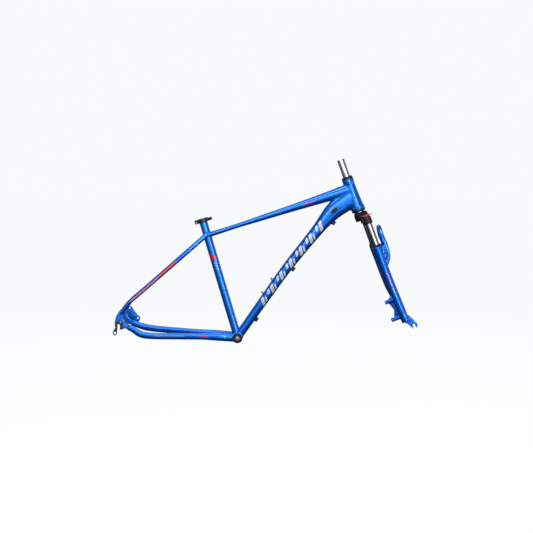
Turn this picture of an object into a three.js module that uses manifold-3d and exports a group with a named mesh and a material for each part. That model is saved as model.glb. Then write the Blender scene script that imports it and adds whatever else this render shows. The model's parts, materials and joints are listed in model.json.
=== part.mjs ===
// Bicycle frameset: a welded aluminium hardtail frame with its suspension fork,
// headset, seat clamp and bottom bracket.
// Millimetres. The origin is the centre of the bottom bracket: +X forward, +Y to the rider's left, +Z up.

import * as THREE from 'three';
import { mergeVertices } from 'three/addons/utils/BufferGeometryUtils.js';
import Module from 'manifold-3d';

const wasm = await Module();
wasm.setup();

// Driving dimensions

const GAP = 0.3; // clearance between neighbouring pieces
const HEAD_ANGLE = 70; // degrees from the ground line, measured from behind
const SEAT_ANGLE = 73.6;
const HEAD_FOOT = { x: 469.8, z: 499.6 }; // lower end of the head tube, on the steering axis
const HEAD_LENGTH = 123;
const REAR_AXLE = { x: -457, z: 54.6 };
const REAR_HUB_WIDTH = 135; // between the rear dropouts' inner faces
const FRONT_HUB_WIDTH = 100;
const AXLE_SLOT = 10.2;
const SEAT_TUBE_LENGTH = 484; // bottom bracket centre to top, along the tube
const SEAT_TUBE_RADIUS = 15.9;
const SEAT_POST_BORE = 13.7; // radius, for a 27.2 mm post
const SHELL_RADIUS = 20;
const SHELL_BORE = 17;
const SHELL_WIDTH = 73;
const SPINDLE_LENGTH = 118;
const STEERER_RADIUS = 14.3; // 28.6 mm steerer
const STEERER_BORE = 12;
const STEERER_TOP = 205; // above the head tube's foot
const LEG_SPACING = 130; // between the stanchion axes
const LEG_OFFSET = 14; // stanchions ahead of the steering axis
const STANCHION_RADIUS = 14;
const STANCHION_BORE = 12;
const CROWN_TOP = -11.3;
const SOCKET_TOP = -36;
const SOCKET_FOOT = -62;
const LOWERS_TOP = -156;
const LOWERS_FOOT = -466;
const FRONT_AXLE = { x: 48.4, z: -491.8 }; // in the steering frame
const BOTTLE_SPACING = 64;
const DISC_TAB_SPACING = 51;

// Finishes

const BLUE_PAINT = { color: 0x0a4fc0, roughness: 0.28, metalness: 0.5 };
const BLACK_ANODISED = { color: 0x17181a, roughness: 0.42, metalness: 0.6 };
const BLACK_PLASTIC = { color: 0x141416, roughness: 0.6, metalness: 0 };
const RUBBER = { color: 0x101011, roughness: 0.85, metalness: 0 };
const CHROME = { color: 0xc9ccd0, roughness: 0.12, metalness: 1 };
const STEEL = { color: 0x9da1a6, roughness: 0.35, metalness: 1 };
const RED_ANODISED = { color: 0xb8122a, roughness: 0.35, metalness: 0.6 };
const ALLOY = { color: 0xb4b8bc, roughness: 0.4, metalness: 0.9 };

// Solids

function solid(geometry) {
  const bare = new THREE.BufferGeometry();
  bare.setAttribute('position', geometry.getAttribute('position'));
  bare.setIndex(geometry.getIndex());
  const merged = mergeVertices(bare, 1e-4);
  const corners = merged.getIndex().array;
  const kept = [];
  for (let i = 0; i < corners.length; i += 3) {
    const [a, b, c] = corners.slice(i, i + 3);
    if (a !== b && b !== c && c !== a) kept.push(a, b, c);
  }
  return new wasm.Manifold(new wasm.Mesh({
    numProp: 3,
    vertProperties: new Float32Array(merged.getAttribute('position').array),
    triVerts: new Uint32Array(kept),
  }));
}

function geometryOf(shape) {
  const mesh = shape.getMesh();
  const geometry = new THREE.BufferGeometry();
  geometry.setAttribute('position', new THREE.BufferAttribute(mesh.vertProperties, 3));
  geometry.setIndex(new THREE.BufferAttribute(mesh.triVerts, 1));
  return geometry;
}

function joined(shapes) {
  return shapes.reduce((whole, shape) => whole.add(shape));
}

function cut(shape, cutters) {
  return cutters.reduce((rest, cutter) => rest.subtract(cutter), shape);
}

// The largest body of a cut shape, without the slivers that a mitre leaves inside the other tube.
function main(shape) {
  return shape.decompose().sort((a, b) => b.volume() - a.volume())[0];
}

function move(shape, x, y, z) {
  return shape.translate([x, y, z]);
}

// A solid of revolution about Z. The profile lists [radius, height] corners and closes on itself.
function turned(profile, segments = 20) {
  const corners = [...profile, profile[0]];
  const points = corners.map(([radius, height]) => new THREE.Vector2(radius, height));
  if (THREE.ShapeUtils.area(points) < 0) points.reverse();
  return solid(new THREE.LatheGeometry(points, segments).rotateX(Math.PI / 2));
}

function rod(radius, low, high, segments = 14) {
  return turned([[0, low], [radius, low], [radius, high], [0, high]], segments);
}

function ring(inner, outer, low, high, segments = 22) {
  return turned([[inner, low], [outer, low], [outer, high], [inner, high]], segments);
}

// Turns a solid built along Z so that it lies along Y, with +Z becoming +Y.
function alongY(shape) {
  return shape.rotate([-90, 0, 0]);
}

function block(x, y, z) {
  const geometry = new THREE.BoxGeometry(x[1] - x[0], y[1] - y[0], z[1] - z[0]);
  return move(solid(geometry), (x[0] + x[1]) / 2, (y[0] + y[1]) / 2, (z[0] + z[1]) / 2);
}

function shapeOf(points) {
  return new THREE.Shape(points.map(([a, b]) => new THREE.Vector2(a, b)));
}

// A plate whose outline lies in the XZ plane, from y = low to y = high.
function plate(outline, low, high, curveSegments = 10) {
  const options = { depth: high - low, bevelEnabled: false, curveSegments };
  const geometry = new THREE.ExtrudeGeometry(outline, options);
  return move(solid(geometry.rotateX(Math.PI / 2)), 0, high, 0);
}

// A plate whose outline lies in the XY plane, from z = low to z = high.
function flatPlate(outline, low, high, curveSegments = 10) {
  const options = { depth: high - low, bevelEnabled: false, curveSegments };
  return move(solid(new THREE.ExtrudeGeometry(outline, options)), 0, 0, low);
}

function curve(points) {
  return new THREE.CatmullRomCurve3(points.map(([x, y, z]) => new THREE.Vector3(x, y, z)));
}

// The point, direction and cross axes of a tube at a share t of its length.
function stationOn(path, t, upright = new THREE.Vector3(0, 0, 1)) {
  const along = path.getTangentAt(t);
  const side = new THREE.Vector3().crossVectors(upright, along).normalize();
  const up = new THREE.Vector3().crossVectors(along, side);
  return { centre: path.getPointAt(t), along, side, up };
}

// A solid along a path with a superellipse section. Sizes are [width, height, squareness], evenly spaced.
function loft(path, sizes, { grow = 0, steps = 10, segments = 16, upright } = {}) {
  const geometry = new THREE.CylinderGeometry(1, 1, 1, segments, steps);
  const sizeAlong = curve(sizes);
  const position = geometry.getAttribute('position');
  for (let i = 0; i < position.count; i += 1) {
    const share = position.getY(i) + 0.5;
    const size = sizeAlong.getPoint(share);
    const { centre, side, up } = stationOn(path, share, upright);
    const rounded = (value) => Math.sign(value) * Math.abs(value) ** (2 / size.z);
    centre.addScaledVector(up, rounded(position.getX(i)) * (size.y / 2 + grow));
    centre.addScaledVector(side, rounded(position.getZ(i)) * (size.x / 2 + grow));
    position.setXYZ(i, centre.x, centre.y, centre.z);
  }
  return solid(geometry);
}

// A hollow tube. Its bore has half the facets of its skin.
function pipe(path, sizes, wall, { steps, segments }) {
  const inside = { grow: -wall, steps: Math.ceil(steps / 2), segments: segments / 2 };
  return loft(path, sizes, { steps, segments }).subtract(loft(path, sizes, inside));
}

// Scene graph: the frame's own axes, the steering axis and the seat tube's axis

const part = new THREE.Group();

function axisGroup(x, z, lean) {
  const group = new THREE.Group();
  group.position.set(x, 0, z);
  group.rotation.y = -THREE.MathUtils.degToRad(lean);
  group.updateMatrix();
  part.add(group);
  return group;
}

const frame = axisGroup(0, 0, 0);
const steering = axisGroup(HEAD_FOOT.x, HEAD_FOOT.z, 90 - HEAD_ANGLE);
const seat = axisGroup(0, 0, 90 - SEAT_ANGLE);

function inFrame(shape, group) {
  return shape.transform(group.matrix.elements);
}

function place(group, name, shape, finish) {
  const mesh = new THREE.Mesh(geometryOf(shape), new THREE.MeshStandardMaterial(finish));
  mesh.name = name;
  group.add(mesh);
}

// Moves a solid to a tube's station: local X along the tube, local Z out of it.
function onTube(shape, { centre, along, up }, distance) {
  const side = new THREE.Vector3().crossVectors(up, along);
  const matrix = new THREE.Matrix4().makeBasis(along, side, up);
  matrix.setPosition(centre.clone().addScaledVector(up, distance));
  return shape.transform(matrix.elements);
}

// Frame tubes

const topPath = curve([[-117.8, 0, 398.6], [155, 0, 486.2], [434, 0, 575.8]]);
const topSizes = [
  [34, 20, 2.3], [34, 18, 2.4], [35, 23, 2.4], [36, 28.5, 2.4], [38, 37, 2.4], [42, 50, 2.3],
];
const downPath = curve([
  [0, 0, 0], [96, 0, 136.5], [192, 0, 271], [296.3, 0, 401.7], [361, 0, 481], [386, 0, 505], [452, 0, 551],
]);
const downSizes = [
  [38, 34, 2.3], [39, 34.5, 2.4], [41, 36, 2.6], [42, 38, 2.6], [44, 40, 2.6], [46, 42, 2.6], [47, 48, 2.5],
  [47, 70, 2.4], [44, 82, 2.3],
];
const TUBE_WALL = 2;
const STAY_WALL = 2.2;

const headProfile = [
  [27.5, 0], [27.5, 8], [25.6, 12], [23.6, 38], [22, 68], [21.4, 100], [22.6, 112], [22.6, HEAD_LENGTH],
];
const LOWER_SEAT = { radius: 25, depth: 14 };
const UPPER_SEAT = { radius: 20, depth: 14 };

function headTube() {
  const bore = [
    [UPPER_SEAT.radius, HEAD_LENGTH], [UPPER_SEAT.radius, HEAD_LENGTH - UPPER_SEAT.depth],
    [18, HEAD_LENGTH - UPPER_SEAT.depth], [18, 60], [20, LOWER_SEAT.depth + 2],
    [LOWER_SEAT.radius, LOWER_SEAT.depth], [LOWER_SEAT.radius, 0],
  ];
  return turned([...headProfile, ...bore], 28);
}

function headEnvelope() {
  const grown = headProfile.map(([radius, height]) => [radius + GAP, height]);
  return inFrame(turned([[0, 0], ...grown, [0, HEAD_LENGTH]], 28), steering);
}

const shellEnvelope = alongY(rod(SHELL_RADIUS + GAP, -SHELL_WIDTH / 2 - 1, SHELL_WIDTH / 2 + 1, 24));
const seatEnvelope = inFrame(rod(SEAT_TUBE_RADIUS + GAP, 0, SEAT_TUBE_LENGTH, 24), seat);
const SEAT_SLOT = { width: 3, foot: 436 };

function seatTube() {
  const tube = inFrame(ring(SEAT_POST_BORE, SEAT_TUBE_RADIUS, 12, SEAT_TUBE_LENGTH), seat);
  const half = SEAT_SLOT.width / 2;
  const slot = block([-30, -8], [-half, half], [SEAT_SLOT.foot, SEAT_TUBE_LENGTH + 1]);
  const relief = rod(3, -30, -8, 12).rotate([0, 90, 0]);
  const opening = slot.add(move(relief, 0, 0, SEAT_SLOT.foot));
  return main(cut(tube, [shellEnvelope, inFrame(opening, seat)]));
}

const downEnvelope = loft(downPath, downSizes, { grow: GAP, steps: 12, segments: 20 });

const bossStations = [0.278, 0.278 + BOTTLE_SPACING / downPath.getLength()];
const PORT = { station: 0.868, length: 24, width: 9 };

function stadium(length, width) {
  const outline = new THREE.Shape();
  const reach = (length - width) / 2;
  outline.absarc(reach, 0, width / 2, -Math.PI / 2, Math.PI / 2);
  outline.absarc(-reach, 0, width / 2, Math.PI / 2, Math.PI * 1.5);
  return outline;
}

// Moves a plate drawn at the origin to the cable port: local X along the down tube.
function atPort(shape) {
  const { centre, along } = stationOn(downPath, PORT.station);
  const slope = THREE.MathUtils.radToDeg(Math.atan2(along.z, along.x));
  return move(shape.rotate([0, -slope, 0]), centre.x, 0, centre.z);
}

function sizeAt(sizes, share) {
  return curve(sizes).getPoint(share);
}

function downTube() {
  const tube = pipe(downPath, downSizes, TUBE_WALL, { steps: 12, segments: 20 });
  const bossHoles = bossStations.map((station) => {
    const { centre, up } = stationOn(downPath, station);
    const lean = THREE.MathUtils.radToDeg(Math.atan2(up.x, up.z));
    return move(rod(4.5, 5, 40, 12).rotate([0, lean, 0]), centre.x, 0, centre.z);
  });
  const portHole = atPort(plate(stadium(PORT.length, PORT.width), -40, -8, 6));
  return main(cut(tube, [shellEnvelope, seatEnvelope, headEnvelope(), ...bossHoles, portHole]));
}

function topTube() {
  const tube = pipe(topPath, topSizes, TUBE_WALL, { steps: 6, segments: 20 });
  return main(cut(tube, [seatEnvelope, headEnvelope(), downEnvelope]));
}

// Rear triangle. Each stay's points are for the right side; the left side mirrors Y.

const seatstayPoints = [
  [-116, -10, 404.4], [-146, -23, 378.2], [-190, -38, 339.8], [-290, -55, 252.5], [-391, -67, 165],
  [-415, -69.5, 145], [-434, -70.7, 122], [-449, -70.7, 99],
];
const seatstaySizes = [[17, 19, 2], [17, 18, 2], [17, 17, 2], [16.5, 16.5, 2], [16, 16, 2]];
const chainstayPoints = {
  right: [
    [-12, -21, 1], [-60, -37, 5], [-107, -46, 8], [-230, -57, 10.5], [-340, -67, 14], [-374, -69.5, 21],
    [-403, -70.7, 40], [-424, -70.7, 50],
  ],
  left: [
    [-12, 21, 1], [-60, 37, 5], [-107, 46, 9], [-230, 57, 17], [-340, 67, 26], [-374, 69.5, 32],
    [-403, 70.7, 42], [-424, 70.7, 50],
  ],
};
const chainstaySizes = [
  [20, 34, 2.2], [18, 31, 2.4], [18, 25, 2.6], [18, 25, 2.6], [18, 25, 2.6], [18, 26, 2.4], [14, 24, 2.2],
];
const HUB_PAD = { radius: 12, rise: 0.8 }; // the ring that the hub's locknut seats on
const DROPOUT = { inner: REAR_HUB_WIDTH / 2 + HUB_PAD.rise, outer: REAR_HUB_WIDTH / 2 + 6.5 };

function mirrored(points) {
  return points.map(([x, y, z]) => [x, -y, z]);
}

const seatstayPaths = { right: curve(seatstayPoints), left: curve(mirrored(seatstayPoints)) };
const chainstayPaths = { right: curve(chainstayPoints.right), left: curve(chainstayPoints.left) };

function axleSlot(low, high) {
  const half = AXLE_SLOT / 2;
  const round = alongY(rod(half, low - 1, high + 1, 16));
  return round.add(block([-half, half], [low - 1, high + 1], [-40, 0]));
}

// The dropout's outline, with the axle at the origin: seatstay tab at the top, chainstay tab in front.
const dropoutOutline = shapeOf([
  [-12, -13], [-15, -5], [-15.5, 12], [-11, 34], [-2, 49], [8, 64], [19, 58], [13, 42], [16, 22], [24, 10],
  [37, 3.5], [56, -6], [49, -21], [31, -13], [20, -12], [13, -16], [-8, -16],
]);

const discTabOutline = shapeOf([
  [12, 40], [22, 62], [34, 60], [52, 34], [70, 16], [66, -2], [36, 2], [20, 16],
]);
const DISC_TAB_STEP = 32; // of the hole spacing, along X
const DISC_BOLT_RADIUS = 3.1;
const discTabHoles = [
  [28, 52],
  [28 + DISC_TAB_STEP, 52 - Math.sqrt(DISC_TAB_SPACING ** 2 - DISC_TAB_STEP ** 2)],
];

function boreAcross(radius, low, high, x, z) {
  return move(alongY(rod(radius, low - 1, high + 1, 16)), x, 0, z);
}

function discTab() {
  const { inner, outer } = DROPOUT;
  const bores = discTabHoles.map(([x, z]) => boreAcross(DISC_BOLT_RADIUS, inner, outer, x, z));
  return cut(plate(discTabOutline, inner, outer), bores);
}

const HANGER_BOLT = { x: 9, z: 13, bore: 2.8 };

// The dropout plate's two faces along Y, from low to high.
function dropoutSpan(side) {
  return side === 'right' ? [-DROPOUT.outer, -DROPOUT.inner] : [DROPOUT.inner, DROPOUT.outer];
}

function dropout(side) {
  const [low, high] = dropoutSpan(side);
  const face = REAR_HUB_WIDTH / 2;
  const padSpan = side === 'right' ? [low + 1, -face] : [face, high - 1];
  const pad = alongY(rod(HUB_PAD.radius, ...padSpan, 24));
  const base = plate(dropoutOutline, low, high).add(pad);
  const slot = axleSlot(low - HUB_PAD.rise, high + HUB_PAD.rise);
  const boltHole = boreAcross(HANGER_BOLT.bore, low, high, HANGER_BOLT.x, HANGER_BOLT.z);
  const body = side === 'right' ? cut(base, [slot, boltHole]) : base.add(discTab()).subtract(slot);
  return move(body, REAR_AXLE.x, 0, REAR_AXLE.z);
}

// What a stay must leave free around its dropout plate.
function dropoutEnvelope(side) {
  const [low, high] = dropoutSpan(side);
  const outlines = side === 'right' ? [dropoutOutline] : [dropoutOutline, discTabOutline];
  const body = joined(outlines.map((outline) => plate(outline, low - GAP, high + GAP)));
  const shifts = [[GAP, 0], [-GAP, 0], [0, GAP], [0, -GAP]];
  return joined(shifts.map(([x, z]) => move(body, REAR_AXLE.x + x, 0, REAR_AXLE.z + z)));
}

function seatstay(side) {
  const tube = pipe(seatstayPaths[side], seatstaySizes, STAY_WALL, { steps: 14, segments: 12 });
  const topEnvelope = loft(topPath, topSizes, { grow: GAP, steps: 6, segments: 20 });
  return main(cut(tube, [seatEnvelope, topEnvelope, dropoutEnvelope(side)]));
}

function chainstay(side) {
  const tube = pipe(chainstayPaths[side], chainstaySizes, STAY_WALL, { steps: 14, segments: 14 });
  return main(cut(tube, [shellEnvelope, seatEnvelope, dropoutEnvelope(side)]));
}

// A round bridge between two mirrored stays, mitred to both.
function bridge(x, z, radius, reach, paths, sizes) {
  const tube = move(alongY(ring(radius - 2, radius, -reach, reach, 12)), x, 0, z);
  const options = { grow: GAP, steps: 14, segments: 14 };
  const stays = ['right', 'left'].map((side) => loft(paths[side], sizes, options));
  return main(cut(tube, stays));
}

// The derailleur hole sits behind the axle slot, so that the ring round it stays whole.
const HANGER = { thickness: 5, x: -14.5, z: -28.5, radius: 9, bore: 4.9 };

function hanger() {
  const outline = new THREE.Shape();
  outline.moveTo(-12, -6);
  outline.absarc(HANGER.x, HANGER.z, HANGER.radius, Math.PI * 0.83, Math.PI * 1.92);
  outline.lineTo(-6, -17);
  outline.lineTo(11, -16);
  outline.lineTo(15, -6);
  outline.lineTo(17, 12);
  outline.lineTo(12, 20);
  outline.lineTo(4, 18);
  outline.lineTo(-10, 11);
  const high = -DROPOUT.outer - GAP;
  const low = high - HANGER.thickness;
  const derailleurHole = boreAcross(HANGER.bore, low, high, HANGER.x, HANGER.z);
  const boltHole = boreAcross(HANGER_BOLT.bore, low, high, HANGER_BOLT.x, HANGER_BOLT.z);
  const body = cut(plate(outline, low, high), [axleSlot(low, high), derailleurHole, boltHole]);
  return move(body, REAR_AXLE.x, 0, REAR_AXLE.z);
}

// A bolt along Z: a round head with a hexagonal socket, its shank pointing down.
function bolt(headRadius, headHeight, shankRadius, shankLength, socket) {
  const body = turned([
    [0, -shankLength], [shankRadius, -shankLength], [shankRadius, 0], [headRadius, 0],
    [headRadius, headHeight * 0.7], [headRadius * 0.8, headHeight], [0, headHeight],
  ], 14);
  return body.subtract(rod(socket, headHeight * 0.4, headHeight + 1, 6));
}

function hangerBolt() {
  const outside = -DROPOUT.outer - HANGER.thickness - 2 * GAP;
  const shape = bolt(4.6, 2.6, 2.4, 11, 1.7).rotate([90, 0, 0]);
  return move(shape, REAR_AXLE.x + HANGER_BOLT.x, outside, REAR_AXLE.z + HANGER_BOLT.z);
}

// The bolt stands run out by the room that a bottle cage's tab takes.
const BOSS = { face: 2, room: 2.4 };

function bottleBoss() {
  return turned([
    [2.7, -9], [4.2, -9], [4.2, GAP], [6.4, GAP], [6.4, BOSS.face], [2.7, BOSS.face],
  ], 16);
}

const CHANNEL = { y: 4.2, z: 5.6, radius: 2.7, mouth: 1.6 };

function cableGuide() {
  const body = block([-9, 9], [-9, 9], [-4, 3]).add(block([-7, 7], [-8, 8], [0, 9]));
  const channels = [-CHANNEL.y, CHANNEL.y].map((y) => {
    const round = rod(CHANNEL.radius, -10, 10, 12).rotate([0, 90, 0]);
    const mouth = block([-10, 10], [y - CHANNEL.mouth, y + CHANNEL.mouth], [CHANNEL.z, 12]);
    return move(round, 0, y, CHANNEL.z).add(mouth);
  });
  return cut(body, channels);
}

// An oval rubber grommet: a lip outside the tube and a body through the wall, with two cable holes.
function cablePort() {
  const halfWidth = sizeAt(downSizes, PORT.station).x / 2;
  const face = -halfWidth - GAP;
  const lip = plate(stadium(PORT.length + 5, PORT.width + 5), face - 1.8, face, 8);
  const insert = plate(stadium(PORT.length - 1, PORT.width - 1), face - 1, face + 6, 8);
  const holes = [-5.5, 5.5].map((x) => move(alongY(rod(2.5, -50, 0, 14)), x, 0, 0));
  return atPort(cut(lip.add(insert), holes));
}

// Seat clamp, in the seat tube's frame

const CLAMP = { low: 468, high: 484, boltX: -26, boltZ: 474.5, pinY: 17.6 };
const EAR = { inner: SEAT_SLOT.width / 2, outer: 8.5 };
const LEVER_HALF = 6;

function seatCollar() {
  const band = rod(21, CLAMP.low, CLAMP.high, 28);
  const ears = block([-32, -14], [-EAR.outer, EAR.outer], [CLAMP.low + 0.5, CLAMP.high - 0.5]);
  const bore = rod(SEAT_TUBE_RADIUS + GAP, CLAMP.low - 1, CLAMP.high + 1, 28);
  const split = block([-40, 0], [-EAR.inner, EAR.inner], [CLAMP.low - 1, CLAMP.high + 1]);
  const boltHole = move(alongY(rod(2.9, -12, 12, 16)), CLAMP.boltX, 0, CLAMP.boltZ);
  return cut(band.add(ears), [bore, split, boltHole]);
}

function clampSkewer() {
  const shank = alongY(rod(2.5, -19, CLAMP.pinY - 3, 16));
  const eye = move(rod(4.8, -2.6, 2.6, 20), 0, CLAMP.pinY, 0);
  const pinHole = move(rod(2.3, -4, 4, 16), 0, CLAMP.pinY, 0);
  return move(shank.add(eye).subtract(pinHole), CLAMP.boltX, 0, CLAMP.boltZ);
}

function clampNut() {
  const face = -EAR.outer - GAP;
  const profile = [[2.8, -17.5], [5.2, -17.5], [6.6, -15.5], [6.6, face], [2.8, face]];
  return move(alongY(turned(profile)), CLAMP.boltX, 0, CLAMP.boltZ);
}

function camWasher() {
  const face = EAR.outer + GAP;
  return move(alongY(ring(2.8, 6.5, face, face + 2, 24)), CLAMP.boltX, 0, CLAMP.boltZ);
}

function leverPin() {
  return move(rod(2, -LEVER_HALF, LEVER_HALF, 16), CLAMP.boltX, CLAMP.pinY, CLAMP.boltZ);
}

// The lever's two cam cheeks straddle the skewer's eye; the blade wraps forward round the collar.
function leverShape() {
  const camOffset = 0.8;
  const cheekInner = 3.1;
  const cheek = new THREE.Shape();
  cheek.absarc(0, -camOffset, 5.7, Math.PI * 0.65, Math.PI * 1.85);
  cheek.lineTo(9, 0);
  cheek.lineTo(12, 6.5);
  const spans = [[-LEVER_HALF, -cheekInner], [cheekInner, LEVER_HALF]];
  const cheeks = spans.map(([low, high]) => flatPlate(cheek, low, high, 14));
  const blade = new THREE.Shape();
  blade.moveTo(6, 0);
  blade.bezierCurveTo(14, 6.5, 34, 8.5, 58, 1.5);
  blade.bezierCurveTo(63, 1, 63, 6, 59, 6.5);
  blade.bezierCurveTo(38, 14, 16, 12.5, 5.5, 6.5);
  const body = joined([...cheeks, flatPlate(blade, -LEVER_HALF, LEVER_HALF, 10)]);
  const pinHole = rod(2.3, -10, 10, 16);
  return move(body.subtract(pinHole), CLAMP.boltX, CLAMP.pinY, CLAMP.boltZ);
}

// Bottom bracket cartridge, along Y

function bottomBracketCup(side) {
  const half = SHELL_WIDTH / 2;
  const cup = turned([
    [15.5, 14], [16.7, 14], [16.7, half + GAP], [19.4, half + GAP], [19.4, half + 2.6], [9.6, half + 2.6],
    [9.6, half - 3], [15.5, half - 3],
  ]);
  const notch = block([-25, 25], [-1.6, 1.6], [half + 1.2, half + 4]);
  const whole = cut(cup, [notch, notch.rotate([0, 0, 90])]);
  return side === 'left' ? alongY(whole) : alongY(whole.rotate([180, 0, 0]));
}

const TAPER = { length: 17, tip: 6.3, root: 6.9 }; // half widths of the square

function spindle() {
  const end = SPINDLE_LENGTH / 2;
  const [tip, root] = [TAPER.tip * Math.SQRT2, TAPER.root * Math.SQRT2];
  const taper = new THREE.CylinderGeometry(tip, root, TAPER.length, 4).rotateX(Math.PI / 2);
  const square = move(solid(taper.rotateZ(Math.PI / 4)), 0, 0, end - TAPER.length / 2);
  const ends = [square, square.rotate([180, 0, 0])];
  const body = joined([rod(8.4, -end + 16, end - 16), ...ends]);
  const threads = [rod(3.4, end - 22, end + 1, 16), rod(3.4, -end - 1, 22 - end, 16)];
  return alongY(cut(body, threads));
}

// Headset, in the steering frame

function lowerCup() {
  return turned([
    [17, 12], [24.7, 12], [24.7, -GAP], [27.3, -GAP], [27.3, -5], [25.2, -8.6], [21.3, -8.6], [21.3, 0],
    [17, 1],
  ], 24);
}

function upperCup() {
  const top = HEAD_LENGTH;
  return turned([
    [15.8, top - 12], [19.7, top - 12], [19.7, top + GAP], [22.4, top + GAP], [22.4, top + 3.4],
    [18.7, top + 3.4], [18.7, top - 5], [15.8, top - 5],
  ], 24);
}

function topCover() {
  const low = HEAD_LENGTH + 3.7;
  return turned([
    [14.6, low], [22.2, low], [22.2, low + 2], [20, low + 7], [17.2, low + 8.6], [14.6, low + 8.6],
  ], 24);
}

// Fork, in the steering frame

function atLeg(shape, side) {
  return move(shape, LEG_OFFSET, side === 'right' ? -LEG_SPACING / 2 : LEG_SPACING / 2, 0);
}

const crownProfile = [
  [78, -37], [62, -33], [44, -22], [26, -13], [-26, -13], [-44, -22], [-62, -33], [-78, -37], [-80, -56],
  [-52, -57], [-38, -48], [-18, -43], [18, -43], [38, -48], [52, -57], [80, -56],
];

function forkCrown() {
  const options = { depth: 22, bevelThickness: 5, bevelSize: 3, bevelOffset: -3, bevelSegments: 1 };
  const outline = new THREE.ExtrudeGeometry(shapeOf(crownProfile), options);
  const arms = solid(outline.rotateX(Math.PI / 2).rotateZ(Math.PI / 2));
  const boss = turned([[0, CROWN_TOP], [21, CROWN_TOP], [24, -17], [25.5, -30], [24, -45], [0, -45]], 24);
  const socket = turned([
    [0, SOCKET_FOOT], [17, SOCKET_FOOT], [18.4, SOCKET_FOOT + 3], [18.4, SOCKET_TOP], [0, SOCKET_TOP],
  ], 24);
  const spotFace = rod(18.4, SOCKET_TOP, CROWN_TOP, 24);
  const legBore = rod(STANCHION_RADIUS + GAP, SOCKET_FOOT - 1, SOCKET_TOP + 1, 24);
  const steererBore = rod(STEERER_RADIUS + GAP, -46, CROWN_TOP + 1, 24);
  const onBothLegs = (shape) => atLeg(shape, 'right').add(atLeg(shape, 'left'));
  const body = joined([move(arms, 1, 0, 0), boss, onBothLegs(socket)]);
  return cut(body, [onBothLegs(spotFace), onBothLegs(legBore), steererBore]);
}

function legCap() {
  const plug = STANCHION_BORE - GAP;
  const top = SOCKET_TOP;
  return turned([
    [0, -52], [plug, -52], [plug, top + 0.5], [16.4, top + 0.5], [16.4, top + 2.6], [15, top + 3.6],
    [3, top + 3.6], [3, top + 10], [0, top + 10],
  ], 24);
}

function knurled(shape, radius, low, high, count, depth) {
  const notch = move(rod(depth, low - 1, high + 1, 6), radius, 0, 0);
  const notches = Array.from({ length: count }, (unused, i) => notch.rotate([0, 0, (360 / count) * i]));
  return cut(shape, notches);
}

const KNOB_FOOT = SOCKET_TOP + 3.9;

function lockoutDial() {
  const low = KNOB_FOOT;
  const disc = ring(3.3, 14.6, low, low + 6.6, 24);
  const lever = block([8, 23], [-3.2, 3.2], [low + 1.4, low + 5.6]);
  const tip = move(rod(3.2, low + 1.4, low + 5.6, 16), 23, 0, 0);
  return joined([knurled(disc, 15.2, low, low + 6.6, 8, 1.4), lever, tip]);
}

function preloadKnob() {
  const low = KNOB_FOOT;
  const body = turned([[3.3, low], [13.4, low], [13.4, low + 6], [11.6, low + 8.2], [3.3, low + 8.2]], 24);
  return knurled(body, 13.8, low, low + 9, 8, 1.4);
}

// The casting is bored for the stanchion down to its stop; below that it sweeps forward to the dropout.
const FOOT_SEAT = LOWERS_FOOT + 2;
const LEG_BORE = { radius: 14.6, foot: -372, well: 9, bottom: -454 };
const legPath = curve([
  [0, 0, LOWERS_TOP], [0.4, 0, -260], [4.5, 0, -370], [7.5, 0, -430], [9.5, 0, LOWERS_FOOT],
]);
const legSizes = [
  [39, 39, 2], [35.5, 35.5, 2], [35, 35, 2], [34.5, 34.5, 2.1], [34, 34.5, 2.2], [29, 31, 2.3],
];

const FORWARD = new THREE.Vector3(1, 0, 0);

function leg() {
  return loft(legPath, legSizes, { steps: 10, segments: 20, upright: FORWARD });
}

function legBore() {
  return turned([
    [0, LOWERS_TOP + 1], [LEG_BORE.radius, LOWERS_TOP + 1], [LEG_BORE.radius, LEG_BORE.foot],
    [LEG_BORE.well, LEG_BORE.foot - 8], [LEG_BORE.well, LEG_BORE.bottom], [4.2, LEG_BORE.bottom],
    [4.2, FOOT_SEAT], [5.9, FOOT_SEAT], [5.9, FOOT_SEAT - 6], [0, FOOT_SEAT - 6],
  ]);
}

function forkDropout(side) {
  const outline = new THREE.Shape();
  outline.moveTo(10, -420);
  outline.lineTo(36, -432);
  outline.quadraticCurveTo(42, -460, FRONT_AXLE.x + 13, FRONT_AXLE.z + 6);
  outline.absarc(FRONT_AXLE.x, FRONT_AXLE.z, 14.5, Math.PI * 0.14, -Math.PI * 0.62, true);
  outline.lineTo(26, -478);
  outline.lineTo(12, -464);
  const inner = FRONT_HUB_WIDTH / 2;
  const [low, high] = side === 'right' ? [-inner - 9, -inner] : [inner, inner + 9];
  return plate(outline, low, high, 10);
}

function frontSlot() {
  const half = AXLE_SLOT / 2;
  const reach = FRONT_HUB_WIDTH / 2 + 20;
  const mouth = block([-half, half], [-reach, reach], [-30, 0]);
  const cutter = alongY(rod(half, -reach, reach, 20)).add(mouth);
  return move(cutter, FRONT_AXLE.x, 0, FRONT_AXLE.z);
}

// The brace joins the legs in front of the stanchions, over the tyre.
const bracePoints = [
  [26, 66, -232], [46.5, 66, -204], [51, 62, -168], [49, 52, -127], [51, 31, -97], [52, 0, -88],
];
const bracePath = curve([...bracePoints, ...mirrored(bracePoints.slice(0, -1)).reverse()]);
const braceSizes = [
  [16, 18, 2.4], [14, 13, 2.5], [12, 16, 2.5], [13, 16, 2.5], [14, 16, 2.5], [13, 16, 2.5],
  [12, 16, 2.5], [14, 13, 2.5], [16, 18, 2.4],
];
const BRAKE_POSTS = { y: 49, face: -22, radius: 8, bore: 2.6, z: [-386, -460] };
const brakeWeb = shapeOf([
  [10, -366], [-9, -380], [-9, -394], [2, -424], [-7, -452], [-7, -465], [16, -468],
]);

function atBrakePosts(shape) {
  const lying = shape.rotate([0, 90, 0]);
  return BRAKE_POSTS.z.map((z) => move(lying, 0, BRAKE_POSTS.y, z));
}

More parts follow.
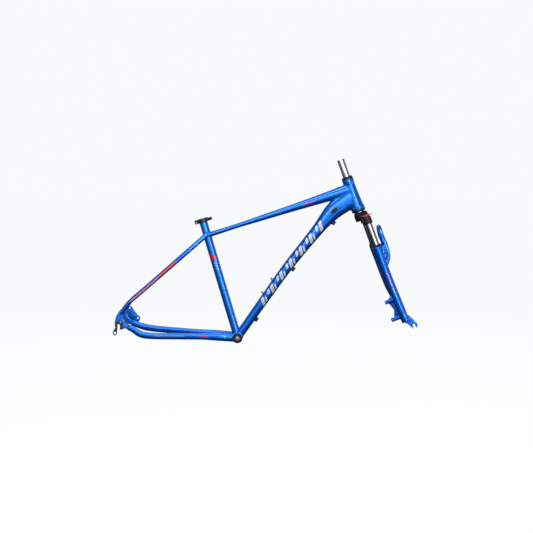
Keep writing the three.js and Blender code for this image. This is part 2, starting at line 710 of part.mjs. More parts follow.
function brakePosts() {
  const posts = atBrakePosts(rod(BRAKE_POSTS.radius, BRAKE_POSTS.face, 12));
  return joined([...posts, plate(brakeWeb, 46, 56)]);
}

function forkLowers() {
  const legs = ['right', 'left'].map((side) => atLeg(leg(), side));
  const bores = ['right', 'left'].map((side) => atLeg(legBore(), side));
  const brace = loft(bracePath, braceSizes, { steps: 24, segments: 10, upright: FORWARD });
  const webs = [-LEG_SPACING / 2, LEG_SPACING / 2].map((y) => (
    block([30, 47], [y - 5, y + 5], [LOWERS_TOP - 22, LOWERS_TOP - 4])
  ));
  const postBores = atBrakePosts(rod(BRAKE_POSTS.bore, BRAKE_POSTS.face - 1, -8, 14));
  const extras = [brace, ...webs, forkDropout('right'), forkDropout('left'), brakePosts()];
  return cut(joined([...legs, ...extras]), [...bores, frontSlot(), ...postBores]);
}

function wiperSeal() {
  const low = LOWERS_TOP;
  return turned([
    [14.3, low + GAP], [18.6, low + GAP], [18.6, low + 4], [16.2, low + 8], [14.3, low + 8],
  ]);
}

const DAMPER = { top: -54, foot: -278, outer: 11.6, inner: 6 };
const ROD_FOOT = LEG_BORE.bottom + GAP;

function damperCartridge() {
  return ring(DAMPER.inner, DAMPER.outer, DAMPER.foot, DAMPER.top, 20);
}

function damperRod() {
  const foot = ROD_FOOT;
  return turned([
    [4.2, foot], [8, foot], [8, foot + 10], [4.4, foot + 13], [4.4, -200], [5.6, -200], [5.6, -190],
    [0, -190], [0, foot + 16], [2.2, foot + 16], [2.2, foot + 14], [4.2, foot + 8],
  ]);
}

function springRod() {
  const foot = ROD_FOOT;
  return turned([
    [4.2, foot], [8, foot], [8, foot + 10], [5.5, foot + 13], [5.5, -244], [11, -242], [11, -238],
    [0, -238], [0, foot + 10], [4.2, foot + 8],
  ]);
}

const SPRING = { top: -56, foot: -235, radius: 8.6, wire: 1.7, turns: 8 };

class Helix extends THREE.Curve {
  getPoint(share, target = new THREE.Vector3()) {
    const angle = share * SPRING.turns * Math.PI * 2;
    const height = THREE.MathUtils.lerp(SPRING.foot + SPRING.wire, SPRING.top - SPRING.wire, share);
    return target.set(Math.cos(angle) * SPRING.radius, Math.sin(angle) * SPRING.radius, height);
  }
}

function coilSpring() {
  const wire = new THREE.Shape();
  wire.absarc(0, 0, SPRING.wire, 0, Math.PI * 2);
  const steps = SPRING.turns * 8;
  const options = { steps, curveSegments: 2.5, bevelEnabled: false, extrudePath: new Helix() };
  return solid(new THREE.ExtrudeGeometry(wire, options));
}

function footBolt() {
  const shape = bolt(5.5, 5, 3.8, 16, 2.6).rotate([180, 0, 0]);
  return move(shape, 0, 0, FOOT_SEAT - GAP);
}

// The frame

place(steering, 'head_tube', headTube(), BLUE_PAINT);
place(frame, 'top_tube', topTube(), BLUE_PAINT);
place(frame, 'down_tube', downTube(), BLUE_PAINT);
place(frame, 'seat_tube', seatTube(), BLUE_PAINT);
const shell = alongY(ring(SHELL_BORE, SHELL_RADIUS, -SHELL_WIDTH / 2, SHELL_WIDTH / 2));
place(frame, 'bottom_bracket_shell', shell, BLUE_PAINT);
for (const side of ['right', 'left']) {
  place(frame, `chainstay_${side}`, chainstay(side), BLUE_PAINT);
  place(frame, `seatstay_${side}`, seatstay(side), BLUE_PAINT);
  place(frame, `dropout_${side}`, dropout(side), BLUE_PAINT);
}
const chainstayBridge = bridge(-66, 5, 7, 60, chainstayPaths, chainstaySizes);
place(frame, 'chainstay_bridge', chainstayBridge, BLUE_PAINT);
const seatstayBridge = bridge(-188, 341.5, 6.5, 60, seatstayPaths, seatstaySizes);
place(frame, 'seatstay_bridge', seatstayBridge, BLUE_PAINT);
place(frame, 'derailleur_hanger', hanger(), BLACK_ANODISED);
place(frame, 'hanger_bolt', hangerBolt(), STEEL);

bossStations.forEach((station, i) => {
  const name = ['lower', 'upper'][i];
  const on = stationOn(downPath, station);
  const skin = sizeAt(downSizes, station).y / 2;
  place(frame, `bottle_boss_${name}`, onTube(bottleBoss(), on, skin), ALLOY);
  const screw = onTube(bolt(4.3, 3.4, 2.4, 10, 2), on, skin + BOSS.face + BOSS.room);
  place(frame, `bottle_bolt_${name}`, screw, BLACK_ANODISED);
});

const guideStations = { lower: 0.138, middle: 0.48, upper: 0.815 };
for (const [name, station] of Object.entries(guideStations)) {
  const { centre, along, up } = stationOn(downPath, station);
  const below = { centre, along, up: up.clone().negate() };
  const guide = onTube(cableGuide(), below, sizeAt(downSizes, station).y / 2);
  place(frame, `cable_guide_${name}`, guide.subtract(downEnvelope), BLACK_PLASTIC);
}
place(frame, 'cable_port_grommet', cablePort(), RUBBER);

// The seat clamp

place(seat, 'seat_collar', seatCollar(), BLACK_ANODISED);
place(seat, 'clamp_skewer', clampSkewer(), STEEL);
place(seat, 'clamp_nut', clampNut(), BLACK_ANODISED);
place(seat, 'cam_washer', camWasher(), BLACK_PLASTIC);
place(seat, 'lever_pin', leverPin(), STEEL);
place(seat, 'clamp_lever', leverShape(), BLACK_ANODISED);

// The bottom bracket

place(frame, 'bottom_bracket_cup_right', bottomBracketCup('right'), BLACK_ANODISED);
place(frame, 'bottom_bracket_cup_left', bottomBracketCup('left'), BLACK_ANODISED);
place(frame, 'bottom_bracket_sleeve', alongY(ring(13, 15.2, -33, 33, 24)), STEEL);
place(frame, 'bottom_bracket_bearing_right', alongY(ring(8.7, 12.7, -31, -24, 24)), STEEL);
place(frame, 'bottom_bracket_bearing_left', alongY(ring(8.7, 12.7, 24, 31, 24)), STEEL);
place(frame, 'bottom_bracket_spindle', spindle(), STEEL);

// The headset

place(steering, 'headset_upper_cup', upperCup(), BLACK_ANODISED);
const upperBearing = ring(15, 18.4, HEAD_LENGTH - 4.7, HEAD_LENGTH + 1.5);
place(steering, 'headset_upper_bearing', upperBearing, STEEL);
place(steering, 'headset_lower_cup', lowerCup(), BLACK_ANODISED);
place(steering, 'headset_lower_bearing', ring(15, 21, -7.6, -0.6), STEEL);
place(steering, 'compression_ring', ring(14.6, 17.6, HEAD_LENGTH + 1.8, HEAD_LENGTH + 3.4), STEEL);
place(steering, 'headset_top_cover', topCover(), BLACK_ANODISED);
place(steering, 'crown_race', ring(14.6, 20, -11, -7.9), STEEL);

// The fork

place(steering, 'steerer_tube', ring(STEERER_BORE, STEERER_RADIUS, -44, STEERER_TOP), ALLOY);
place(steering, 'fork_crown', forkCrown(), BLACK_ANODISED);
place(steering, 'fork_lowers', forkLowers(), BLUE_PAINT);
for (const side of ['right', 'left']) {
  const stanchion = ring(STANCHION_BORE, STANCHION_RADIUS, -286, SOCKET_TOP - GAP, 24);
  place(steering, `stanchion_${side}`, atLeg(stanchion, side), CHROME);
  place(steering, `wiper_seal_${side}`, atLeg(wiperSeal(), side), RUBBER);
  place(steering, `foot_bolt_${side}`, atLeg(footBolt(), side), STEEL);
}
place(steering, 'damper_cap', atLeg(legCap(), 'right'), BLACK_ANODISED);
place(steering, 'preload_cap', atLeg(legCap(), 'left'), BLACK_ANODISED);
place(steering, 'lockout_dial', atLeg(lockoutDial(), 'right'), RED_ANODISED);
place(steering, 'preload_knob', atLeg(preloadKnob(), 'left'), BLACK_PLASTIC);
place(steering, 'damper_cartridge', atLeg(damperCartridge(), 'right'), ALLOY);
place(steering, 'damper_rod', atLeg(damperRod(), 'right'), STEEL);
place(steering, 'spring_rod', atLeg(springRod(), 'left'), ALLOY);
place(steering, 'coil_spring', atLeg(coilSpring(), 'left'), STEEL);

export default part;
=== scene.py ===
"""Bicycle frameset in the studio: smooth welded tubes, paint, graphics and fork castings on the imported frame.
Metres, in the frame's own axes: +X forward, +Y to the rider's left, +Z up. The tables are in millimetres."""

import json
import math
import bmesh
import bpy
import numpy as np
from mathutils import Matrix, Vector
from mathutils.bvhtree import BVHTree


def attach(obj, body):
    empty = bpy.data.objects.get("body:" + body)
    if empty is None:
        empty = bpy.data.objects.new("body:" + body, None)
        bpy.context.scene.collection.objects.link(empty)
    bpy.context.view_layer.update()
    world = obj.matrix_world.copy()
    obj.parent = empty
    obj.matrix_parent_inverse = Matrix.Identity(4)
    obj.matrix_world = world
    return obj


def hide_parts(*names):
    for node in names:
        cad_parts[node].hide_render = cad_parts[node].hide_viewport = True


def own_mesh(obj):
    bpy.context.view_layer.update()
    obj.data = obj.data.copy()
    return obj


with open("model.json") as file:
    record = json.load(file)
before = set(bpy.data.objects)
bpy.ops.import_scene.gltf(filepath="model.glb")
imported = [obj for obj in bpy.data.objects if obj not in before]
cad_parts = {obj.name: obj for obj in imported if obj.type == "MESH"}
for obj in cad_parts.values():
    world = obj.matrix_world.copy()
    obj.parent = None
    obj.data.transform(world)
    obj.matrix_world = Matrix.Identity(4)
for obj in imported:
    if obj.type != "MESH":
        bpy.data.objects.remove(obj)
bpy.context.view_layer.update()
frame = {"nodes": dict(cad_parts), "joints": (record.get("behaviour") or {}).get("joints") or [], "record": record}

MM = 0.001

# Axes: the steering axis and the seat tube's axis come from the frame's own joints.

JOINTS = {joint["name"]: joint for joint in frame["joints"]}


def axis_matrix(origin, up):
    """A frame with Z along up and Y to the rider's left."""
    x, z = up[0], up[2]
    return Matrix(((z, 0, x, origin[0]), (0, 1, 0, origin[1]), (-x, 0, z, origin[2]), (0, 0, 0, 1)))


def shifted(matrix, x=0.0, y=0.0, z=0.0):
    """The same frame moved by millimetres along its own axes."""
    return matrix @ Matrix.Translation(Vector((x, y, z)) * MM)


def rolled(matrix, degrees, axis):
    """The same place turned about one of its own axes."""
    return matrix @ Matrix.Rotation(math.radians(degrees), 4, axis)


PLAIN = Matrix.Identity(4)
STEER = axis_matrix(JOINTS["steering"]["pos_m"], JOINTS["steering"]["axis"])
SEAT = axis_matrix((0, 0, 0), JOINTS["clamp_lever_turn"]["axis"])
CROSS = Matrix(((1, 0, 0, 0), (0, 0, 1, 0), (0, -1, 0, 0), (0, 0, 0, 1)))  # local Z to the rider's left
LENGTHWAYS = Matrix(((0, 0, 1, 0), (1, 0, 0, 0), (0, 1, 0, 0), (0, 0, 0, 1)))  # local Z forwards
SIDES = {"right": -1, "left": 1}
LEG_AXIS = {side: shifted(STEER, 14, 65 * sign) for side, sign in SIDES.items()}


def outward(sign, matrix=PLAIN):
    """The same place with local Z pointing to the rider's left, or to the right where sign is -1."""
    return matrix @ (CROSS if sign > 0 else rolled(CROSS, 180, "X"))


# Materials


def set_stops(elements, stops):
    """Fills a colour ramp with stops of (place, colour)."""
    while len(elements) < len(stops):
        elements.new(0.5)
    for element, (place, colour) in zip(elements, stops):
        element.position = place
        element.color = (*colour, 1)


class Shader:
    """A node material with one Principled shader and short ways to add nodes to it."""

    def __init__(self, name, **fixed):
        self.material = bpy.data.materials.new(name)
        self.material.use_nodes = True
        self.tree = self.material.node_tree
        self.main = self.tree.nodes["Principled BSDF"]
        for socket, value in fixed.items():
            self.main.inputs[socket.replace("_", " ")].default_value = value
        self.coords = self.add("ShaderNodeTexCoord").outputs["Object"]

    def put(self, socket, value):
        """Links the value to the socket where it is another node's output, and else sets it."""
        if isinstance(value, bpy.types.NodeSocket):
            self.tree.links.new(value, socket)
        else:
            socket.default_value = value

    def add(self, kind, **inputs):
        node = self.tree.nodes.new(kind)
        for key, value in inputs.items():
            self.put(node.inputs[key.replace("_", " ")], value)
        return node

    def stretched(self, scale, turn=0.0):
        """Object coordinates turned by turn radians about Y and then stretched."""
        turned_coords = self.add("ShaderNodeMapping", Vector=self.coords, Rotation=(0, turn, 0)).outputs[0]
        return self.add("ShaderNodeMapping", Vector=turned_coords, Scale=scale).outputs[0]

    def noise(self, scale, detail=3.0, vector=None):
        vector = vector or self.coords
        return self.add("ShaderNodeTexNoise", Vector=vector, Scale=scale, Detail=detail).outputs["Fac"]

    def ramp(self, value, *stops):
        """Colour stops of (place, colour), read at value."""
        node = self.add("ShaderNodeValToRGB", Fac=value)
        set_stops(node.color_ramp.elements, stops)
        return node.outputs["Color"]

    def span(self, value, low, high):
        """value, which runs from 0 to 1, spread between low and high."""
        return self.add("ShaderNodeMapRange", Value=value, To_Min=low, To_Max=high).outputs["Result"]

    def mix(self, share, first, second):
        node = self.tree.nodes.new("ShaderNodeMix")
        node.data_type = "RGBA"
        for index, value in ((0, share), (6, first), (7, second)):
            self.put(node.inputs[index], (*value, 1) if isinstance(value, tuple) else value)
        return node.outputs[2]

    def edges(self):
        """1 on worn outer edges and corners, 0 on flat faces."""
        convex = self.add("ShaderNodeNewGeometry").outputs["Pointiness"]
        return self.add("ShaderNodeMapRange", Value=convex, From_Min=0.51, From_Max=0.58).outputs["Result"]

    def times(self, first, second):
        node = self.add("ShaderNodeMath")
        node.operation = "MULTIPLY"
        self.tree.links.new(first, node.inputs[0])
        self.tree.links.new(second, node.inputs[1])
        return node.outputs[0]

    def bump(self, height, strength, distance=0.0004):
        node = self.add("ShaderNodeBump", Height=height, Strength=strength, Distance=distance)
        self.tree.links.new(node.outputs["Normal"], self.main.inputs["Normal"])

    def finish(self, colour=None, roughness=None):
        for socket, value in (("Base Color", colour), ("Roughness", roughness)):
            if value is not None:
                self.tree.links.new(value, self.main.inputs[socket])
        return self.material


def metallic_paint(name, dark, light, worn):
    """Metal flake under a clear coat, with orange peel and paint thinned on the edges."""
    shader = Shader(name, Metallic=0.8, Coat_Weight=0.5, Coat_Roughness=0.03, Coat_IOR=1.5)
    flake = shader.add("ShaderNodeTexVoronoi", Vector=shader.coords, Scale=1900.0)
    glint = shader.add("ShaderNodeSeparateColor", Color=flake.outputs["Color"]).outputs["Red"]
    drift = shader.noise(14.0, 4.0)
    base = shader.ramp(drift, (0.3, dark), (0.72, light))
    flaked = shader.mix(shader.span(glint, 0.0, 0.14), base, tuple(1.5 * channel for channel in light))
    chips = shader.times(shader.edges(), shader.span(shader.noise(160.0), 0.0, 0.8))
    shader.bump(shader.noise(420.0, 2.0), 0.02)
    return shader.finish(shader.mix(chips, flaked, worn), shader.span(shader.noise(60.0), 0.26, 0.36))


def anodised(name, dark, light, worn):
    """Dyed aluminium with fine bead-blast grain and brighter worn edges."""
    shader = Shader(name, Metallic=0.75, Coat_Weight=0.15, Coat_Roughness=0.25)
    base = shader.ramp(shader.noise(90.0, 5.0), (0.35, dark), (0.7, light))
    wear = shader.times(shader.edges(), shader.span(shader.noise(240.0), 0.1, 0.7))
    shader.bump(shader.noise(2600.0, 2.0), 0.08, 0.0002)
    return shader.finish(shader.mix(wear, base, worn), shader.span(shader.noise(120.0), 0.3, 0.46))


def moulded(name, dark, light, roughness=(0.42, 0.6), grain=1500.0):
    """Moulded plastic or rubber with a fine texture and dusty patches."""
    shader = Shader(name, Specular_IOR_Level=0.4)
    base = shader.ramp(shader.noise(55.0, 5.0), (0.3, dark), (0.75, light))
    shader.bump(shader.noise(grain, 3.0), 0.2, 0.0003)
    return shader.finish(base, shader.span(shader.noise(200.0), *roughness))


def drawn_metal(name, dark, light, roughness, lean):
    """Bright metal with fine polishing lines along an axis leaning by lean radians."""
    shader = Shader(name, Metallic=1.0)
    lines = shader.noise(1.0, 3.0, shader.stretched((1600.0, 1600.0, 14.0), lean))
    base = shader.ramp(lines, (0.3, dark), (0.7, light))
    shader.bump(lines, 0.012, 0.0001)
    return shader.finish(base, shader.span(shader.noise(45.0), *roughness))


def vinyl(name, dark, light, metallic=0.0):
    """Printed film under the clear coat, with faint ink mottling."""
    shader = Shader(name, Metallic=metallic, Coat_Weight=1.0, Coat_Roughness=0.04)
    base = shader.ramp(shader.noise(35.0, 6.0), (0.25, dark), (0.75, light))
    shader.bump(shader.noise(420.0, 2.0), 0.05)
    return shader.finish(base, shader.span(shader.noise(90.0), 0.22, 0.34))


STEER_LEAN = math.atan2(-JOINTS["steering"]["axis"][0], JOINTS["steering"]["axis"][2])
RECIPES = {
    "blue_paint": (metallic_paint, (0.0, 0.12, 0.62), (0.0, 0.18, 0.82), (0.03, 0.27, 0.78)),
    "black_anodised": (anodised, (0.012, 0.012, 0.014), (0.03, 0.03, 0.034), (0.2, 0.2, 0.21)),
    "black_plastic": (moulded, (0.011, 0.011, 0.012), (0.028, 0.028, 0.03)),
    "rubber": (moulded, (0.007, 0.007, 0.008), (0.02, 0.02, 0.021), (0.65, 0.85), 800.0),
    "chrome_tube": (drawn_metal, (0.6, 0.61, 0.63), (0.66, 0.67, 0.69), (0.06, 0.13), STEER_LEAN),
    "steel": (drawn_metal, (0.4, 0.41, 0.43), (0.5, 0.51, 0.53), (0.25, 0.42), 0.0),
    "red_anodised": (anodised, (0.42, 0.004, 0.02), (0.62, 0.01, 0.045), (0.8, 0.3, 0.32)),
    "bare_alloy": (drawn_metal, (0.52, 0.53, 0.54), (0.6, 0.61, 0.62), (0.24, 0.38), STEER_LEAN),
}
LOOKS = {name: make(name, *values) for name, (make, *values) in RECIPES.items()}
# Each print is a film's material and its slot.
SILVER_EDGE = (vinyl("silver_edge", (0.82, 0.84, 0.86), (0.9, 0.92, 0.94)), "bare_alloy")
SILVER_FILL = (vinyl("silver_fill", (0.5, 0.52, 0.55), (0.62, 0.64, 0.67), 0.2), "bare_alloy")
RED_PRINT = (vinyl("red_print", (0.62, 0.006, 0.012), (0.78, 0.012, 0.02)), "red_anodised")
# The red stripe's tail, printed lighter pink: a painted highlight on the red print.
RED_PRINT_PAINTED_HIGHLIGHT = (vinyl("red_print_painted_highlight", (0.62, 0.14, 0.2), (0.72, 0.2, 0.27)), "red_anodised")
PALE_PRINT = (vinyl("pale_print", (0.2, 0.42, 0.75), (0.3, 0.52, 0.82)), "bare_alloy")

# Mesh tools


def linked(name, data):
    """A new object in the scene that holds the data."""
    obj = bpy.data.objects.new(name, data)
    bpy.context.scene.collection.objects.link(obj)
    return obj


def new_object(name, vertices, faces, matrix=PLAIN):
    """An object whose mesh lies in the row frame, with doubled points merged and faces turned outwards."""
    mesh = bpy.data.meshes.new(name)
    mesh.from_pydata([tuple(vertex) for vertex in vertices], [], faces)
    mesh.transform(matrix)
    obj = linked(name, mesh)
    tidy(obj)
    return obj


def tidy(obj, merge=1e-6):
    bm = bmesh.new()
    bm.from_mesh(obj.data)
    bmesh.ops.remove_doubles(bm, verts=bm.verts, dist=merge)
    bmesh.ops.recalc_face_normals(bm, faces=bm.faces)
    bm.to_mesh(obj.data)
    bm.free()


def evaluated_mesh(obj):
    """A new mesh of the object's shape with its modifiers or bevels worked in."""
    graph = bpy.context.evaluated_depsgraph_get()
    return bpy.data.meshes.new_from_object(obj.evaluated_get(graph))


def apply_modifiers(obj):
    mesh = evaluated_mesh(obj)
    old = obj.data
    obj.modifiers.clear()
    obj.data = mesh
    bpy.data.meshes.remove(old)


def combine(obj, others, operation):
    """Joins the others to obj, or cuts them from it, and removes them."""
    for other in others:
        modifier = obj.modifiers.new(operation, "BOOLEAN")
        modifier.operation = operation
        modifier.solver = "EXACT"
        modifier.object = other
        apply_modifiers(obj)
        bpy.data.objects.remove(other)
    return obj


def cut(obj, *cutters):
    return combine(obj, cutters, "DIFFERENCE")


def union(obj, *others):
    return combine(obj, others, "UNION")


def piece(obj, body, slot, *nodes, look=None, crease=32):
    """Gives a finished mesh its material and body, and hides the CAD nodes that it stands for."""
    obj.data.materials.clear()
    obj.data.materials.append(look or LOOKS[slot])
    obj.data.shade_smooth()
    obj.data.set_sharp_from_angle(angle=math.radians(crease))
    if nodes:
        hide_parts(*nodes)
    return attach(obj, body)


def rounded(corners, radius, closed=True):
    """The outline with each corner softened by a short curve."""
    corners = [np.array(corner, float) for corner in corners]
    count = len(corners)
    outline = []
    for i, corner in enumerate(corners):
        if not closed and i in (0, count - 1):
            outline.append(corner)
            continue
        before, after = corners[i - 1] - corner, corners[(i + 1) % count] - corner
        reach = min(radius, 0.45 * np.linalg.norm(before), 0.45 * np.linalg.norm(after))
        start = corner + before / np.linalg.norm(before) * reach
        end = corner + after / np.linalg.norm(after) * reach
        for share in (0.0, 0.25, 0.5, 0.75, 1.0):
            outline.append((1 - share) ** 2 * start + 2 * share * (1 - share) * corner + share ** 2 * end)
    return outline


def grid_faces(rows, columns, wrap_rows, wrap_columns, first=0):
    """Four-sided faces over rows of points, closed round in the directions that wrap."""
    faces = []
    for i in range(rows if wrap_rows else rows - 1):
        here, there = first + i * columns, first + (i + 1) % rows * columns
        for k in range(columns if wrap_columns else columns - 1):
            after = (k + 1) % columns
            faces.append((here + k, here + after, there + after, there + k))
    return faces


def turned(name, profile, matrix=PLAIN, soft=0.5, segments=64):
    """A body turned about Z from [radius, height] corners. A profile from axis to axis is a solid one."""
    open_ended = profile[0][0] == 0
    outline = rounded(profile, soft, closed=not open_ended) if soft else [np.array(p, float) for p in profile]
    count = len(outline)
    vertices = []
    for i in range(segments):
        angle = 2 * math.pi * i / segments
        vertices += [(r * math.cos(angle) * MM, r * math.sin(angle) * MM, z * MM) for r, z in outline]
    return new_object(name, vertices, grid_faces(segments, count, True, not open_ended), matrix)


def rod(radius, low, high, matrix=PLAIN, segments=48, name="rod"):
    return turned(name, [(0, low), (radius, low), (radius, high), (0, high)], matrix, 0, segments)


def ring(name, inner, outer, low, high, matrix=PLAIN, soft=0.5):
    return turned(name, [(inner, low), (outer, low), (outer, high), (inner, high)], matrix, soft)


def block(x, y, z, matrix=PLAIN):
    corners = [(a * MM, b * MM, c * MM) for a in x for b in y for c in z]
    faces = [(0, 1, 3, 2), (4, 6, 7, 5), (0, 4, 5, 1), (2, 3, 7, 6), (0, 2, 6, 4), (1, 5, 7, 3)]
    return new_object("block", corners, faces, matrix)


def arc(x, y, radius, start, end, steps=12):
    """Points on an arc, from start to end degrees."""
    angles = [math.radians(start + (end - start) * i / steps) for i in range(steps + 1)]
    return [(x + radius * math.cos(a), y + radius * math.sin(a)) for a in angles]


def circle(x, y, radius, steps=40):
    return arc(x, y, radius, 0, 360 - 360 / steps, steps - 1)


def plate(name, outline, low, high, matrix=PLAIN, holes=(), bevel=0.8):
    """A plate with rounded edges: its outline lies in local XY, and it runs from low to high along Z."""
    data = bpy.data.curves.new(name, "CURVE")
    data.dimensions = "2D"
    data.fill_mode = "BOTH"
    data.extrude = ((high - low) / 2 - bevel) * MM
    data.bevel_depth = bevel * MM
    data.bevel_resolution = 2
    data.offset = -bevel * MM
    for points in (outline, *holes):
        spline = data.splines.new("POLY")
        spline.points.add(len(points) - 1)
        for point, (x, y) in zip(spline.points, points):
            point.co = (x * MM, y * MM, 0, 1)
        spline.use_cyclic_u = True
    obj = linked(name, data)
    mesh = evaluated_mesh(obj)
    bpy.data.objects.remove(obj)
    mesh.transform(shifted(matrix, z=(low + high) / 2))
    solid = linked(name, mesh)
    tidy(solid, 2e-6)
    return solid


def side_plate(name, outline, low, high, holes=(), bevel=0.8, matrix=PLAIN):
    """A plate whose outline is drawn in XZ, from y = low to y = high."""
    upright = matrix @ Matrix(((1, 0, 0, 0), (0, 0, 1, 0), (0, 1, 0, 0), (0, 0, 0, 1)))
    return plate(name, outline, low, high, upright, holes, bevel)


# Tubes: a centre line through the CAD's points, and a superellipse section that changes along it


def curve_point(points, share):
    """A point of the centripetal Catmull-Rom curve that the CAD's tubes follow."""
    place = (len(points) - 1) * share
    index = min(int(place), len(points) - 2)
    weight = place - index
    before = points[index - 1] if index else 2 * points[0] - points[1]
    start, end = points[index], points[index + 1]
    after = points[index + 2] if index + 2 < len(points) else 2 * points[-1] - points[-2]
    middle = np.linalg.norm(end - start) ** 0.5 or 1.0
    first = np.linalg.norm(start - before) ** 0.5 or middle
    last = np.linalg.norm(after - end) ** 0.5 or middle
    leave = ((start - before) / first - (end - before) / (first + middle) + (end - start) / middle) * middle
    arrive = ((end - start) / middle - (after - start) / (middle + last) + (after - end) / last) * middle
    square = -3 * start + 3 * end - 2 * leave - arrive
    cube = 2 * start - 2 * end + leave + arrive
    return start + weight * (leave + weight * (square + weight * cube))


def reach_along(line):
    """How far along the line each of its points is."""
    return np.concatenate([[0], np.cumsum(np.linalg.norm(np.diff(line, axis=0), axis=1))])


def points_at(places, reach, line):
    """The point of the line at a place along it, or a row of them for many places."""
    return np.array([np.interp(places, reach, line[:, i]) for i in range(3)]).T


class Tube:
    """A tube's shape. sizes are (width, height, squareness), spread evenly along it; places are shares of
    its length."""

    def __init__(self, points, sizes, upright=(0, 0, 1)):
        corners = [np.array(point, float) for point in points]
        self.fine = np.array([curve_point(corners, share) for share in np.linspace(0, 1, 601)])
        self.reach = reach_along(self.fine)
        self.length = self.reach[-1]
        self.sizes = [np.array(size, float) for size in sizes]
        self.upright = np.array(upright, float)

    def at(self, share):
        return points_at(share * self.length, self.reach, self.fine)

    def axes(self, share):
        """The tube's direction, its side and its upper side."""
        along = self.at(min(share + 0.004, 1)) - self.at(max(share - 0.004, 0))
        along /= np.linalg.norm(along)
        side = np.cross(self.upright, along)
        side /= np.linalg.norm(side)
        return along, side, np.cross(along, side)

    def section(self, share, angles, grow=0.0, scale=1.0):
        """Points round the skin. Angle 0 faces along the tube's side axis, and 90 degrees is the top."""
        width, height, squareness = curve_point(self.sizes, share)
        centre = self.at(share)
        _, side, up = self.axes(share)
        round_x, round_z = (
            np.sign(wave) * np.abs(wave) ** (2 / squareness) for wave in (np.cos(angles), np.sin(angles))
        )
        across = round_x * (width / 2 + grow) * scale
        above = round_z * (height / 2 + grow) * scale
        return centre + np.outer(across, side) + np.outer(above, up)

    def rings(self, steps, segments, tail=0.0):
        """Rings of skin points. A tail rounds off the far end over that many millimetres."""
        angles = np.linspace(0, 2 * math.pi, segments, endpoint=False)
        shares = [(share, 1.0) for share in np.linspace(0, 1 - tail / self.length, steps + 1)]
        if tail:
            turns = [math.radians(degrees) for degrees in (15, 30, 45, 60, 75, 86)]
            shares += [(1 - tail * (1 - math.sin(turn)) / self.length, math.cos(turn)) for turn in turns]
        return np.array([self.section(share, angles, 0.0, scale) for share, scale in shares])

    def on_skin(self, share, height, flank, lift):
        """A point on the flank (-1 for the right), height millimetres of skin above its middle."""
        angles = np.linspace(-math.pi / 2, math.pi / 2, 121)
        own_side = flank * self.axes(share)[1][1] > 0
        skin = self.section(share, angles if own_side else math.pi - angles, lift)
        reach = reach_along(skin)
        return points_at(reach[60] + height, reach, skin)

    def frame_on_top(self, share, turn=1):
        """Axes on the upper skin, or the lower with turn -1: X along the tube, Z out of it."""
        along, side, up = self.axes(share)
        top = self.at(share) + up * turn * curve_point(self.sizes, share)[1] / 2
        columns = [along, side * turn, up * turn, top * MM]
        return Matrix([[column[i] for column in columns] for i in range(3)] + [[0, 0, 0, 1]])


def skinned(name, rings, matrix=PLAIN):
    """A closed mesh over rings of points, capped at both ends."""
    count, segments = rings.shape[:2]
    faces = [tuple(range(segments)), tuple(range((count - 1) * segments, count * segments))]
    faces += grid_faces(count, segments, False, True)
    return new_object(name, rings.reshape(-1, 3) * MM, faces, matrix)


def mirrored(points):
    return [(x, -y, z) for x, y, z in points]


# Frame tubes

HEAD_LENGTH = 123
HEAD_SKIN = [
    (27.5, 0), (27.5, 8), (25.6, 12), (23.6, 38), (22, 68), (21.4, 100), (22.6, 112), (22.6, HEAD_LENGTH),
]
HEAD_BORE = [(20, HEAD_LENGTH), (20, 109), (18, 109), (18, 60), (20, 16), (25, 14), (25, 0)]
SEAT_TUBE = {"bore": 13.7, "radius": 15.9, "low": 12, "high": 484, "slot": 436}
SHELL = {"bore": 17, "radius": 20, "half": 36.5}
TOP = Tube(
    [(-117.8, 0, 398.6), (155, 0, 486.2), (434, 0, 575.8)],
    [(34, 20, 2.3), (34, 18, 2.4), (35, 23, 2.4), (36, 28.5, 2.4), (38, 37, 2.4), (42, 50, 2.3)],
)
DOWN = Tube(
    [(0, 0, 0), (96, 0, 136.5), (192, 0, 271), (296.3, 0, 401.7), (361, 0, 481), (386, 0, 505),
     (452, 0, 551)],
    [(38, 34, 2.3), (39, 34.5, 2.4), (41, 36, 2.6), (42, 38, 2.6), (44, 40, 2.6), (46, 42, 2.6),
     (47, 48, 2.5), (47, 70, 2.4), (44, 82, 2.3)],
)
SEATSTAY_POINTS = [
    (-116, -10, 404.4), (-146, -23, 378.2), (-190, -38, 339.8), (-290, -55, 252.5), (-391, -67, 165),
    (-415, -69.5, 145), (-434, -70.7, 122), (-449, -70.7, 99),
]
SEATSTAY_SIZES = [(17, 19, 2), (17, 18, 2), (17, 17, 2), (16.5, 16.5, 2), (16, 16, 2)]
CHAINSTAY_POINTS = {
    "right": [
        (-12, -21, 1), (-60, -37, 5), (-107, -46, 8), (-230, -57, 10.5), (-340, -67, 14), (-374, -69.5, 21),
        (-403, -70.7, 40), (-424, -70.7, 50),
    ],
    "left": [
        (-12, 21, 1), (-60, 37, 5), (-107, 46, 9), (-230, 57, 17), (-340, 67, 26), (-374, 69.5, 32),
        (-403, 70.7, 42), (-424, 70.7, 50),
    ],
}
CHAINSTAY_SIZES = [
    (20, 34, 2.2), (18, 31, 2.4), (18, 25, 2.6), (18, 25, 2.6), (18, 25, 2.6), (18, 26, 2.4), (14, 24, 2.2),
]
SEATSTAYS = {
    "right": Tube(SEATSTAY_POINTS, SEATSTAY_SIZES),
    "left": Tube(mirrored(SEATSTAY_POINTS), SEATSTAY_SIZES),
}
CHAINSTAYS = {side: Tube(points, CHAINSTAY_SIZES) for side, points in CHAINSTAY_POINTS.items()}
PORT = {"share": 0.868, "length": 24, "width": 9, "face": -24.4}
SHELL_CORE = SHELL["radius"] - 1  # where a tube that runs into the shell is cut off
SEAT_CORE = SEAT_TUBE["radius"] - 1
HEAD_CORE = 20.5


def stadium(length, width):
    reach = (length - width) / 2
    return arc(reach, 0, width / 2, -90, 90) + arc(-reach, 0, width / 2, 90, 270)


